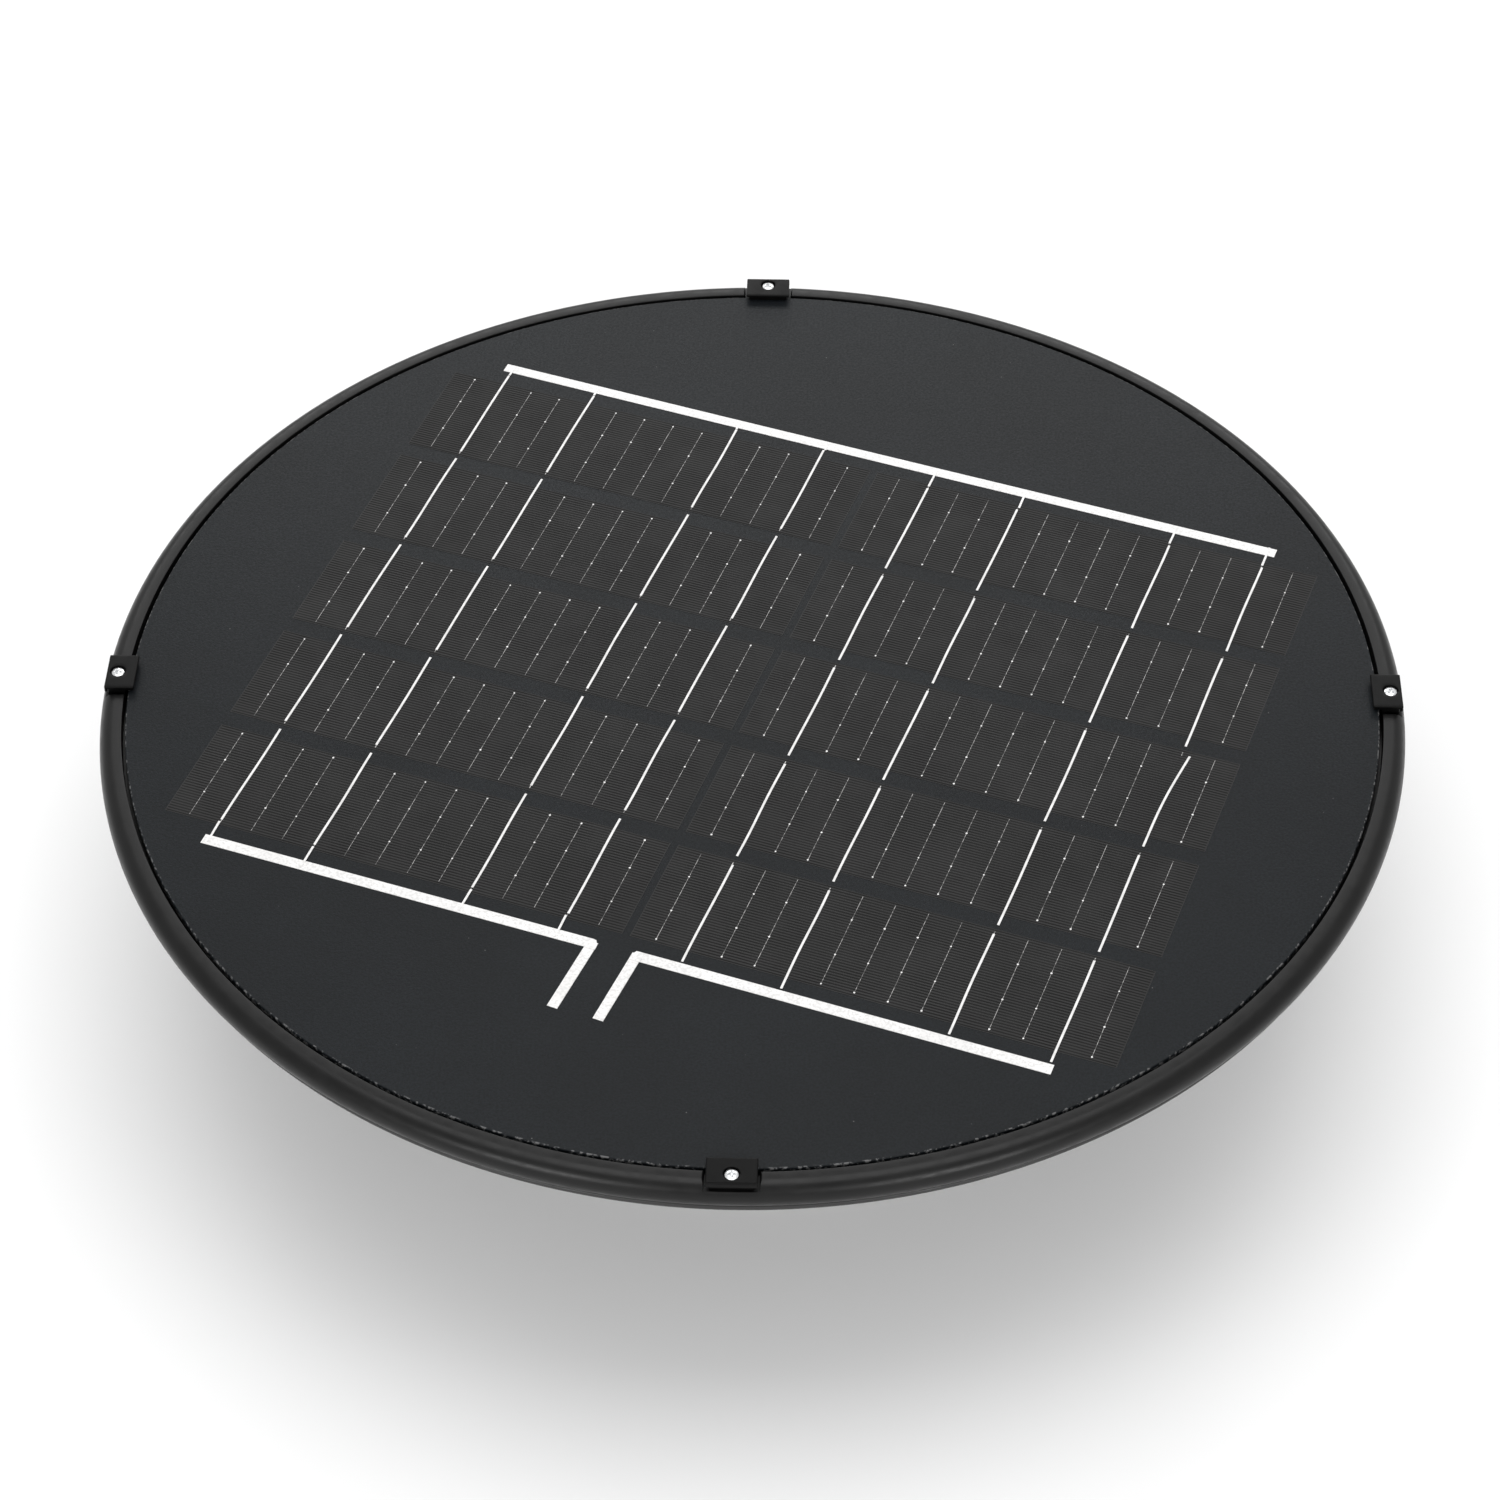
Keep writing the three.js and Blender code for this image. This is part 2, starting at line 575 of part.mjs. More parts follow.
// One strip of silicon with four ribbons soldered on. The ribbons point to +Y on the left
// column and to -Y on the right one, towards the next strip of the string.
function cellStrip(centreX, centreY, direction) {
  const halfLength = CELL_LENGTH / 2;
  const halfWidth = CELL_WIDTH / 2;
  const slab = block(-halfLength, halfLength, -halfWidth, halfWidth, cellBottom, cellTop);
  const ribbons = TABBED_BUSBARS.map((number) => {
    const x = (number - (BUSBAR_COUNT + 1) / 2) * busbarPitch;
    const half = RIBBON_WIDTH / 2;
    const low = RIBBON_INSET - halfWidth;
    const high = halfWidth + RIBBON_OVERHANG;
    return block(x - half, x + half, low, high, cellTop - CELL_THICKNESS / 3, cellTop + RIBBON_THICKNESS);
  });
  const strip = join(slab, ...ribbons);
  if (direction < 0) strip.rotateZ(Math.PI);
  return strip.translate(centreX, centreY, 0);
}

function addCells(group) {
  const columnX = (CELL_LENGTH + COLUMN_GAP) / 2;
  let number = 0;
  for (const side of [-1, 1]) {
    for (let row = 0; row < CELL_ROWS; row += 1) {
      number += 1;
      const y = ((CELL_ROWS - 1) / 2 - row) * rowPitch;
      const name = `cell_strip_${String(number).padStart(2, '0')}`;
      add(name, cellStrip(side * columnX, y, -side), 'cell', group);
    }
  }
}

function addBuses(group) {
  const half = BUS_WIDTH / 2;
  const leadHalf = BUS_LEAD_WIDTH / 2;
  const top = busBottom + RIBBON_THICKNESS * 2;
  const far = block(-busReach, busReach, -half, half, busBottom, top);
  far.rotateZ(degrees(BUS_TOP_TILT)).translate(0, busOffset, 0);
  add('bus_far', far, 'tinnedCopper', group);
  for (const [name, side] of [['bus_near_left', -1], ['bus_near_right', 1]]) {
    const inner = (side * BUS_MIDDLE_GAP) / 2;
    const ends = [inner, side * busReach].sort((a, b) => a - b);
    const strip = block(ends[0], ends[1], -busOffset - half, -busOffset + half, busBottom, top);
    const leadX = inner + side * leadHalf;
    const lead = block(leadX - leadHalf, leadX + leadHalf, -busLeadReach, -busOffset, busBottom, top);
    add(name, join(strip, lead), 'tinnedCopper', group);
  }
}

function addClips() {
  const inner = boardRadius - CLIP_OVERLAP;
  const outer = rimInner + CLIP_REACH;
  const half = CLIP_WIDTH / 2;
  const boreFloor = clipTop - CLIP_BORE_DEPTH;
  const clipBodyBottom = notchFloor + CONTACT;
  const plateBottom = clipTop - CLIP_PLATE;
  const skirtBottom = clipTop - CLIP_SKIRT;
  const plateProfile = new THREE.Shape([
    new THREE.Vector2(inner, plateBottom),
    new THREE.Vector2(outer - CLIP_SKIRT_WALL, plateBottom),
    new THREE.Vector2(outer - CLIP_SKIRT_WALL, skirtBottom),
    new THREE.Vector2(outer, skirtBottom),
    new THREE.Vector2(outer, clipTop - CLIP_CHAMFER),
    new THREE.Vector2(outer - CLIP_CHAMFER, clipTop),
    new THREE.Vector2(inner + CLIP_CHAMFER / 2, clipTop),
    new THREE.Vector2(inner, clipTop - CLIP_CHAMFER / 2),
  ]);
  const bodyInner = inner + CLIP_UNDERCUT / 2;
  const bodyOuter = outer - CLIP_UNDERCUT;
  const bodyTop = plateBottom + CLIP_PLATE / 2;
  const bodyHalf = half - CLIP_UNDERCUT;
  const bodyProfile = new THREE.Shape([
    new THREE.Vector2(bodyInner, boardTop + CONTACT),
    new THREE.Vector2(rimInner + CONTACT, boardTop + CONTACT),
    new THREE.Vector2(rimInner + CONTACT, clipBodyBottom),
    new THREE.Vector2(bodyOuter, clipBodyBottom),
    new THREE.Vector2(bodyOuter, bodyTop),
    new THREE.Vector2(bodyInner, bodyTop),
  ]);
  const boreRadius = CLIP_SCREW_HEAD_RADIUS + CLIP_BORE_GAP;
  for (let i = 0; i < CLIP_COUNT; i += 1) {
    const group = turned((360 * i) / CLIP_COUNT);
    const plate = new THREE.ExtrudeGeometry(plateProfile, { depth: CLIP_WIDTH, bevelEnabled: false });
    plate.rotateX(Math.PI / 2).translate(0, half, 0);
    const body = new THREE.ExtrudeGeometry(bodyProfile, { depth: 2 * bodyHalf, bevelEnabled: false });
    body.rotateX(Math.PI / 2).translate(0, bodyHalf, 0);
    const bore = disc(boreRadius, boreFloor, clipTop + 1, SMALL * 2).translate(clipScrewDistance, 0, 0);
    const hole = disc(CLIP_SCREW_RADIUS + SCREW_GAP, notchFloor - 1, boreFloor + 1, SMALL);
    const clip = cut(join(plate, body), bore, hole.translate(clipScrewDistance, 0, 0));
    add(`panel_clip_${i + 1}`, clip, 'blackPlastic', group);
    const seat = boreFloor + CONTACT;
    const head = screw(
      CLIP_SCREW_HEAD_RADIUS, CLIP_SCREW_HEAD_HEIGHT, CLIP_SCREW_RADIUS, CLIP_SCREW_LENGTH, seat);
    const slotHalf = CLIP_SCREW_HEAD_RADIUS * 0.5;
    const slotBottom = seat + CLIP_SCREW_HEAD_HEIGHT * 0.45;
    const slots = [
      block(-slotHalf, slotHalf, -0.4, 0.4, slotBottom, clipTop + 1),
      block(-0.4, 0.4, -slotHalf, slotHalf, slotBottom, clipTop + 1),
    ];
    add(`clip_screw_${i + 1}`, cut(head, ...slots).translate(clipScrewDistance, 0, 0), 'zincPlated', group);
  }
}

// ---------------------------------------------------------------- junction box and lead
// The bus leads end over the box. The lead lies in the upright plane through the axis and the box.
const boxCentre = new THREE.Vector2(0, -busLeadReach)
  .rotateAround(new THREE.Vector2(0, 0), degrees(GRID_TURN))
  .add(new THREE.Vector2(GRID_SHIFT_X, GRID_SHIFT_Y));
const boxDistance = boxCentre.length();
const leadAngle = boxCentre.angle();
const boxTop = boardBottom - CONTACT;
const boxBottom = boxTop - BOX_HEIGHT;
const boxInnerSide = boxDistance - BOX_WIDTH / 2;
const boxExitHeight = (boxTop + boxBottom) / 2;
const motorInletHeight = motorTop - MOTOR_WALL - MOTOR_INLET_DROP;

// Centre line of the lead: distance from the axis and height.
function leadRoute() {
  const floorLine = panFloor + LEAD_RADIUS + LEAD_GAP;
  const bend = grommetDistance - LEAD_BEND;
  const run = boxInnerSide - grommetDistance;
  const along = (share) => boxInnerSide - share * run;
  return [
    [boxInnerSide - LEAD_GAP, boxExitHeight],
    [along(0.07), boxExitHeight],
    [along(0.19), boxExitHeight - LEAD_EXIT_DROP],
    [along(0.35), floorLine + 1],
    [along(0.48), floorLine],
    [along(0.67), floorLine + 1],
    [along(0.81), floorLine + LEAD_HUMP - 2],
    [along(0.93), floorLine + LEAD_HUMP],
    [grommetDistance + 0.4, floorLine + 3],
    [grommetDistance, panFloor + GROMMET_LIP],
    [grommetDistance, panBottom - GROMMET_LIP],
    [grommetDistance - 2, motorInletHeight + 12],
    [bend + 9, motorInletHeight + 3.5],
    [bend, motorInletHeight],
    [MOTOR_RADIUS + LEAD_GAP, motorInletHeight],
  ].map(([distance, height]) => new THREE.Vector3(distance, 0, height));
}

function ringSection(radius, sides) {
  const section = new THREE.Shape();
  for (let i = 0; i < sides; i += 1) {
    const angle = (2 * Math.PI * i) / sides;
    const point = [radius * Math.cos(angle), radius * Math.sin(angle)];
    if (i === 0) section.moveTo(...point);
    else section.lineTo(...point);
  }
  section.closePath();
  return section;
}

function addLead() {
  const group = turned(THREE.MathUtils.radToDeg(leadAngle));
  const path = new THREE.CatmullRomCurve3(leadRoute(), false, 'centripetal');
  const options = { steps: 30, bevelEnabled: false, extrudePath: path };
  add('motor_lead', new THREE.ExtrudeGeometry(ringSection(LEAD_RADIUS, 8), options), 'rubber', group);
  const halfWidth = BOX_WIDTH / 2;
  const halfLength = BOX_LENGTH / 2;
  const lidTop = boxBottom + BOX_LID_THICKNESS;
  const shell = block(-halfWidth, halfWidth, -halfLength, halfLength, lidTop + CONTACT, boxTop);
  const cavity = block(
    BOX_WALL - halfWidth, halfWidth - BOX_WALL, BOX_WALL - halfLength, halfLength - BOX_WALL,
    lidTop - 1, boxTop - BOX_WALL);
  const box = cut(shell, cavity).translate(boxDistance, 0, 0);
  add('junction_box', box, 'blackPlastic', group);
  const lid = block(-halfWidth, halfWidth, -halfLength, halfLength, boxBottom, lidTop);
  const plug = block(
    BOX_WALL + LID_PLUG_GAP - halfWidth, halfWidth - BOX_WALL - LID_PLUG_GAP,
    BOX_WALL + LID_PLUG_GAP - halfLength, halfLength - BOX_WALL - LID_PLUG_GAP,
    boxBottom + 1, lidTop + LID_PLUG_RISE);
  add('junction_box_lid', join(lid, plug).translate(boxDistance, 0, 0), 'blackPlastic', group);
  const bore = LEAD_RADIUS + LEAD_GAP + 0.3;
  const neck = GROMMET_RADIUS - CONTACT;
  const flange = GROMMET_RADIUS + GROMMET_FLANGE;
  const grommet = revolve(closedProfile([
    [bore, panBottom - GROMMET_LIP],
    [flange, panBottom - GROMMET_LIP],
    [flange, panBottom - CONTACT],
    [neck, panBottom - CONTACT],
    [neck, panFloor + CONTACT],
    [flange, panFloor + CONTACT],
    [flange, panFloor + GROMMET_LIP],
    [bore, panFloor + GROMMET_LIP],
  ]), SMALL);
  add('cable_grommet', grommet.translate(grommetDistance, 0, 0), 'rubber', group);
}

// ---------------------------------------------------------------- motor
function addMotorBracket() {
  const bottom = ductTop + CONTACT;
  const reach = ductLipRadius - BRACKET_ARM_INSET;
  const half = MOTOR_BRACKET_ARM / 2;
  const plate = join(
    block(-reach, reach, -half, half, bottom, bracketTop),
    block(-half, half, -reach, reach, bottom, bracketTop),
    disc(MOTOR_BRACKET_DISC, bottom, bracketTop, MEDIUM));
  const screwDistance = reach - BRACKET_SCREW_INSET;
  const holes = [disc(END_CAP_BOSS_RADIUS + SCREW_GAP, bottom - 1, bracketTop + 1, MEDIUM)];
  for (let i = 0; i < 4; i += 1) {
    const hole = disc(HOOD_SCREW_RADIUS + SCREW_GAP, bottom - 1, bracketTop + 1, SMALL);
    holes.push(hole.translate(screwDistance, 0, 0).rotateZ((Math.PI / 2) * i));
  }
  add('motor_bracket', cut(plate, ...holes), 'galvanised');
  const length = MOTOR_BRACKET_THICKNESS + CONTACT;
  for (let i = 0; i < 4; i += 1) {
    const group = turned(90 * i);
    const bracketScrew = screw(
      HOOD_SCREW_HEAD_RADIUS, HOOD_SCREW_HEAD_HEIGHT, HOOD_SCREW_RADIUS, length, bracketTop + CONTACT);
    add(`bracket_screw_${i + 1}`, bracketScrew.translate(screwDistance, 0, 0), 'zincPlated', group);
  }
}

function addMotor() {
  const wall = MOTOR_RADIUS - MOTOR_WALL;
  const roof = motorTop - MOTOR_WALL;
  const seat = BEARING_RADIUS + BEARING_SEAT_GAP;
  const seatWall = seat + MOTOR_WALL;
  const upperBearingBottom = upperBearingTop - BEARING_HEIGHT;
  add('motor_housing', revolve([
    [0, motorTop],
    [MOTOR_RADIUS - CAN_CHAMFER, motorTop],
    [MOTOR_RADIUS, motorTop - CAN_CHAMFER],
    [MOTOR_RADIUS, motorBottom + END_CAP_THICKNESS + CONTACT],
    [wall, motorBottom + END_CAP_THICKNESS + CONTACT],
    [wall, roof],
    [seatWall, roof],
    [seatWall, upperBearingBottom],
    [seat, upperBearingBottom],
    [seat, roof],
    [0, roof],
  ], MEDIUM), 'blackPowderCoat');
  const capFloor = motorBottom + END_CAP_THICKNESS;
  const bossBottom = motorBottom - END_CAP_BOSS_DROP;
  const shaftBore = SHAFT_RADIUS + SHAFT_CLEARANCE;
  const spigot = wall - MOTOR_SPIGOT_GAP;
  add('motor_end_cap', revolve(closedProfile([
    [shaftBore, bossBottom],
    [END_CAP_BOSS_RADIUS, bossBottom],
    [END_CAP_BOSS_RADIUS, motorBottom],
    [MOTOR_RADIUS, motorBottom],
    [MOTOR_RADIUS, capFloor],
    [spigot, capFloor],
    [spigot, capFloor + SPIGOT_RISE],
    [spigot - SPIGOT_WALL, capFloor + SPIGOT_RISE],
    [spigot - SPIGOT_WALL, capFloor],
    [seatWall, capFloor],
    [seatWall, endCapTop],
    [seat, endCapTop],
    [seat, capFloor],
    [shaftBore, capFloor],
  ]), MEDIUM), 'mill');
  const statorTop = statorBottom + STATOR_HEIGHT;
  add('motor_stator', tube(STATOR_INNER, statorOuter, statorBottom, statorTop, MEDIUM), 'copperWinding');
  const rotorOuter = STATOR_INNER - AIR_GAP;
  const rotorInner = SHAFT_RADIUS + SHAFT_GAP;
  const bearingInner = SHAFT_RADIUS + SHAFT_GAP;
  add('motor_rotor', tube(rotorInner, rotorOuter, statorBottom, statorTop - 1, MEDIUM), 'steel');
  const lowerTop = capFloor + CONTACT + BEARING_HEIGHT - 2 * CONTACT;
  add('bearing_lower', tube(bearingInner, BEARING_RADIUS, capFloor + CONTACT, lowerTop, MEDIUM), 'steel');
  add('bearing_upper',
    tube(bearingInner, BEARING_RADIUS, upperBearingBottom, upperBearingTop, MEDIUM), 'steel');
}

// ---------------------------------------------------------------- rotating parts below the motor
function smooth(x) {
  const t = THREE.MathUtils.clamp(x, 0, 1);
  return t * t * (3 - 2 * t);
}

// Middle surface of a blade: u runs from root to tip, v across the chord.
function bladePoint(u, v) {
  const radius = BLADE_ROOT_RADIUS + (bladeTipRadius - BLADE_ROOT_RADIUS) * u;
  const widen = smooth(u * 1.15);
  const corner = 1 - TIP_CORNER * Math.max(0, (u - TIP_CORNER_START) / (1 - TIP_CORNER_START)) ** 3;
  const chord = (BLADE_ROOT_CHORD + (bladeTipChord - BLADE_ROOT_CHORD) * widen) * corner;
  const twist = BLADE_ROOT_PITCH + (BLADE_TIP_PITCH - BLADE_ROOT_PITCH) * u;
  const pitch = degrees(twist) * smooth((u - TWIST_START) / TWIST_RUN);
  const across = (v - 0.5) * chord;
  const bulge = chord * BLADE_CAMBER * (1 - (2 * v - 1) ** 2) * smooth((u - TWIST_START) / TWIST_RUN);
  const tangent = across * Math.cos(pitch) - bulge * Math.sin(pitch);
  const height = across * Math.sin(pitch) + bulge * Math.cos(pitch);
  const angle = tangent / radius;
  return new THREE.Vector3(radius * Math.cos(angle), radius * Math.sin(angle), fanMiddle + height);
}

function addFan() {
  const low = fanMiddle - BLADE_THICKNESS / 2;
  const plate = tube(HUB_BOSS_RADIUS + CONTACT, FAN_PLATE_RADIUS, low, low + BLADE_THICKNESS, MEDIUM);
  const blades = [];
  for (let i = 0; i < BLADE_COUNT; i += 1) {
    const blade = sheet(bladePoint, 10, 5, BLADE_THICKNESS * 0.98);
    blades.push(blade.rotateZ((2 * Math.PI * i) / BLADE_COUNT));
  }
  add('fan_blades', join(plate, ...blades), 'mill');
  const bore = SHAFT_RADIUS + SHAFT_GAP;
  const flangeTopFace = hubFlangeBottom + HUB_FLANGE_THICKNESS;
  add('fan_hub', revolve(closedProfile([
    [bore, hubBottom],
    [HUB_BOSS_RADIUS, hubBottom],
    [HUB_BOSS_RADIUS, hubFlangeBottom],
    [HUB_FLANGE_RADIUS, hubFlangeBottom],
    [HUB_FLANGE_RADIUS, flangeTopFace],
    [HUB_BOSS_RADIUS, flangeTopFace],
    [HUB_BOSS_RADIUS, hubTop],
    [bore, hubTop],
  ]), MEDIUM), 'steel');
  const nutBottom = nutTop - NUT_HEIGHT;
  const hexagon = disc(NUT_RADIUS, nutBottom, nutTop, 6);
  add('hub_nut', cut(hexagon, disc(bore, nutBottom - 1, nutTop + 1, MEDIUM)), 'zincPlated');
  const shaftBottom = nutBottom - SHAFT_TAIL;
  const shaftTop = upperBearingTop - 1;
  add('motor_shaft', revolve([
    [0, shaftBottom],
    [SHAFT_RADIUS - 0.8, shaftBottom],
    [SHAFT_RADIUS, shaftBottom + 0.8],
    [SHAFT_RADIUS, shaftTop],
    [0, shaftTop],
  ], MEDIUM), 'steel');
}

addFlange();
addDuct();
addScreen();
addHoodBrackets();
addPan();
addRim();
addBoard();
const grid = gridGroup();
addCells(grid);
addBuses(grid);
addClips();
addLead();
addMotorBracket();
addMotor();
addFan();

export default fan;
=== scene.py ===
# %% [markdown]
# # A solar attic fan head
# The object is the head of a roof ventilator: a round photovoltaic panel lies as a lid in a black
# beaded rim, and a fan below it draws air up through a duct and lets it out under the hood. The
# solids that carry the sizes are already made. This file gives each of them its fine surface and
# its finish. The main levels and radii are read from those solids, and each finer size is named
# beside the piece that it belongs to.

# %% Load the frame
import math

import bpy
import numpy as np
from mathutils import Matrix, Vector


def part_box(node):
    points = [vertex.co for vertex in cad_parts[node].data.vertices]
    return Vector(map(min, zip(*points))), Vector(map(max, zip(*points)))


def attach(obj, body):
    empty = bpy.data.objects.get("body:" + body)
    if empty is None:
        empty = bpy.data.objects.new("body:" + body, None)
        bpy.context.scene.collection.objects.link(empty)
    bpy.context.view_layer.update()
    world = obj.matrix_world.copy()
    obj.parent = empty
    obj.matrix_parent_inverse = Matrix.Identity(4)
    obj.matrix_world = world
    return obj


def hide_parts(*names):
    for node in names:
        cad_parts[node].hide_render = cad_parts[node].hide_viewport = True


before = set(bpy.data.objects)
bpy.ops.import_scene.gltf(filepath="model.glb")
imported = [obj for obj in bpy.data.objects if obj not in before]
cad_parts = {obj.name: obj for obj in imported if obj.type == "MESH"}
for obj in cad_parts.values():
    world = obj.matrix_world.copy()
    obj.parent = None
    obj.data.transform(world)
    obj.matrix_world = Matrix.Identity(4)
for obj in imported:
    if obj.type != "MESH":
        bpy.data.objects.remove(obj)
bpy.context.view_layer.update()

MM = 0.001

# %% [markdown]
# ## Levels
# A part stands where its neighbour stops, so the heights are named once. They are read from the
# boxes of the solids: the top of the panel, the top of the rim, the floor of the pan.

# %% Name the levels and the radii


def low(node):
    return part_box(node)[0]


def high(node):
    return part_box(node)[1]


board_top = high("pv_board").z
board_bottom = low("pv_board").z
board_radius = high("pv_board").x
rim_top = high("rim_ring").z
rim_radius = high("rim_ring").x
pan_bottom = low("hood_pan").z
flange_bottom = low("base_flange").z
flange_top = high("base_flange").z
flange_radius = high("base_flange").x
duct_top = high("duct").z
clip_top = high("panel_clip_1").z
print("panel top", round(board_top, 4), "rim top", round(rim_top, 4), "rim radius", round(rim_radius, 4))

# %% [markdown]
# ## The camera
# A long lens from well above flattens the disc into an ellipse with little perspective. The camera
# is placed by its distance, its height above the horizon and its turn round the axis, and it is
# rolled by half a degree.

# %% Place the camera
LENS = 99.28
SENSOR = 36.0
CAMERA_DISTANCE = 1786.5 * MM
CAMERA_ELEVATION = math.radians(44.54)
CAMERA_TURN = math.radians(1.99)
CAMERA_ROLL = math.radians(-0.493)
CELLS_UNDER_TOP = 3.6 * MM
aim = Vector((0.17 * MM, -36.2 * MM, board_top - CELLS_UNDER_TOP))


def camera_axes(turn, elevation, roll):
    """Right, up and back of a camera that looks at its aim: back is the unit vector at the given
    turn and elevation, and right and up are turned about it by the roll."""
    back = Vector((math.sin(turn) * math.cos(elevation), -math.cos(turn) * math.cos(elevation),
                   math.sin(elevation)))
    right = Vector((math.cos(turn), math.sin(turn), 0.0))
    up = back.cross(right)
    rolled_right = right * math.cos(roll) + up * math.sin(roll)
    rolled_up = up * math.cos(roll) - right * math.sin(roll)
    return rolled_right, rolled_up, back


lens = bpy.data.cameras.new("camera")
lens.lens = LENS
lens.sensor_width = SENSOR
camera = bpy.data.objects.new("camera", lens)
bpy.context.scene.collection.objects.link(camera)
right, up, back = camera_axes(CAMERA_TURN, CAMERA_ELEVATION, CAMERA_ROLL)
turned = Matrix((right, up, back)).transposed().to_4x4()
camera.matrix_world = Matrix.Translation(aim + back * CAMERA_DISTANCE) @ turned
bpy.context.scene.camera = camera
print("camera at", [round(x, 3) for x in camera.matrix_world.translation])

# %% [markdown]
# ## Meshes from arrays
# Each new surface is a function of two parameters, worked out for a whole grid at once. A grid
# that closes on itself wraps round; a grid that ends on the axis has a pole, where all of a row's
# points fall together. Points that fall together are joined, and a four-cornered face with two
# joined corners becomes a triangle. A closed surface has a signed volume, the sum over its faces
# of the triple product of their corners over six, and a negative one says it is inside out.

# %% Helpers that turn grids into meshes


def grid_faces(rows, columns, wrap_rows, wrap_columns):
    """Corner numbers of the faces of a grid of rows by columns points, one row after another."""
    i = np.arange(rows if wrap_rows else rows - 1)
    j = np.arange(columns if wrap_columns else columns - 1)
    i, j = np.meshgrid(i, j, indexing="ij")
    below = (i + 1) % rows
    beside = (j + 1) % columns
    corners = [i * columns + j, below * columns + j, below * columns + beside, i * columns + beside]
    return np.stack(corners, axis=-1).reshape(-1, 4)


def joined(points, faces):
    """Joins points less than a hundredth of a micrometre apart and renumbers the faces."""
    keys = np.round(points / 1e-8).astype(np.int64)
    _, first, number = np.unique(keys, axis=0, return_index=True, return_inverse=True)
    return points[first], number.reshape(-1)[faces]


def signed_volume(points, faces):
    a, b, c, d = (points[faces[:, k]] for k in range(4))
    first, second = (np.einsum("ij,ij->i", a, np.cross(p, q)) for p, q in ((b, c), (c, d)))
    return float((first + second).sum() / 6)


def piece(name, points, faces, finish, body="housing", sharp=32.0, plane=None):
    """Makes one object from points and four-cornered faces, turns it outwards and rides it on a
    body. plane, if given, holds one pair of numbers per point for a pattern that follows the piece."""
    points = np.asarray(points, dtype=float).reshape(-1, 3)
    if signed_volume(points, faces) < 0:
        faces = faces[:, ::-1]
    if plane is None:
        points, faces = joined(points, faces)
    following = np.roll(faces, -1, axis=1)
    keep = faces != following
    counts = keep.sum(axis=1)
    solid = counts >= 3
    faces, keep, counts = faces[solid], keep[solid], counts[solid]
    corners = faces[keep]
    mesh = bpy.data.meshes.new(name)
    mesh.vertices.add(len(points))
    mesh.vertices.foreach_set("co", points.astype(np.float32).ravel())
    mesh.loops.add(len(corners))
    mesh.loops.foreach_set("vertex_index", corners.astype(np.int32))
    mesh.polygons.add(len(faces))
    mesh.polygons.foreach_set("loop_start", (np.cumsum(counts) - counts).astype(np.int32))
    mesh.update(calc_edges=True)
    mesh.polygons.foreach_set("use_smooth", np.ones(len(faces), dtype=bool))
    mesh.set_sharp_from_angle(angle=math.radians(sharp))
    if plane is not None:
        layer = mesh.uv_layers.new(name="piece_plane")
        layer.data.foreach_set("uv", np.asarray(plane, dtype=np.float32).reshape(-1, 2)[corners].ravel())
    mesh.materials.append(finish)
    mesh.validate()
    made = bpy.data.objects.new(name, mesh)
    bpy.context.scene.collection.objects.link(made)
    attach(made, body)
    return made


def several(name, parts, finish, **options):
    """One object from several closed shells, each a pair of points and faces."""
    points, faces, start = [], [], 0
    for shell_points, shell_faces in parts:
        shell_points = np.asarray(shell_points, dtype=float).reshape(-1, 3)
        if signed_volume(shell_points, shell_faces) < 0:
            shell_faces = shell_faces[:, ::-1]
        points.append(shell_points)
        faces.append(shell_faces + start)
        start += len(shell_points)
    points = np.concatenate(points)
    faces = np.concatenate(faces)
    total = piece(name, points, faces, finish, **options)
    return total


# %% [markdown]
# A turned part is drawn as half of its section. Real edges are never sharp, so the section's
# corners are rounded: at a corner where the outline turns by an angle t, a round of radius r starts
# r times the tangent of t/2 before the corner and ends as far after it.

# %% Helpers for sections


def rounded(corners, radius, steps=5, closed=True):
    """A section with its corners rounded. corners are (radius, height) or (x, y) pairs, and radius
    is one number or one for each corner. An open section keeps its two ends."""
    corners = np.asarray(corners, dtype=float)
    radii = np.broadcast_to(np.asarray(radius, dtype=float), (len(corners),))
    out = []
    for k, corner in enumerate(corners):
        if not closed and k in (0, len(corners) - 1):
            out.append(corner[None])
            continue
        before = corners[k - 1] - corner
        after = corners[(k + 1) % len(corners)] - corner
        size_before, size_after = np.linalg.norm(before), np.linalg.norm(after)
        before, after = before / size_before, after / size_after
        half = math.acos(np.clip(before @ after, -1, 1)) / 2
        reach = min(radii[k] / math.tan(half), 0.49 * size_before, 0.49 * size_after)
        if reach < 1e-7 or half > 1.56:
            out.append(corner[None])
            continue
        size = reach * math.tan(half)
        middle = corner + (before + after) / np.linalg.norm(before + after) * (size / math.sin(half))
        start, end = corner + before * reach - middle, corner + after * reach - middle
        swing = math.acos(np.clip(start @ end / size ** 2, -1, 1))
        t = np.linspace(0, 1, steps + 1)[:, None]
        out.append(middle + (np.sin((1 - t) * swing) * start + np.sin(t * swing) * end) / math.sin(swing))
    return np.concatenate(out)


def turned_grid(section, segments, closed):
    """The section turned about the Z axis: x = r cos a, y = r sin a, z = h, for a right round."""
    angle = np.linspace(0, 2 * np.pi, segments, endpoint=False)
    radius, height = section[:, 0][:, None], section[:, 1][:, None]
    points = np.stack(np.broadcast_arrays(
        radius * np.cos(angle), radius * np.sin(angle), height + 0 * angle), axis=-1)
    return points.reshape(-1, 3), grid_faces(len(section), segments, closed, True)


def lathe(name, corners, radius, finish, segments=240, closed=True, steps=4, **options):
    """A turned piece. An open section starts and ends on the axis."""
    section = rounded(corners, radius, steps, closed)
    points, faces = turned_grid(section, segments, closed)
    return piece(name, points, faces, finish, **options)


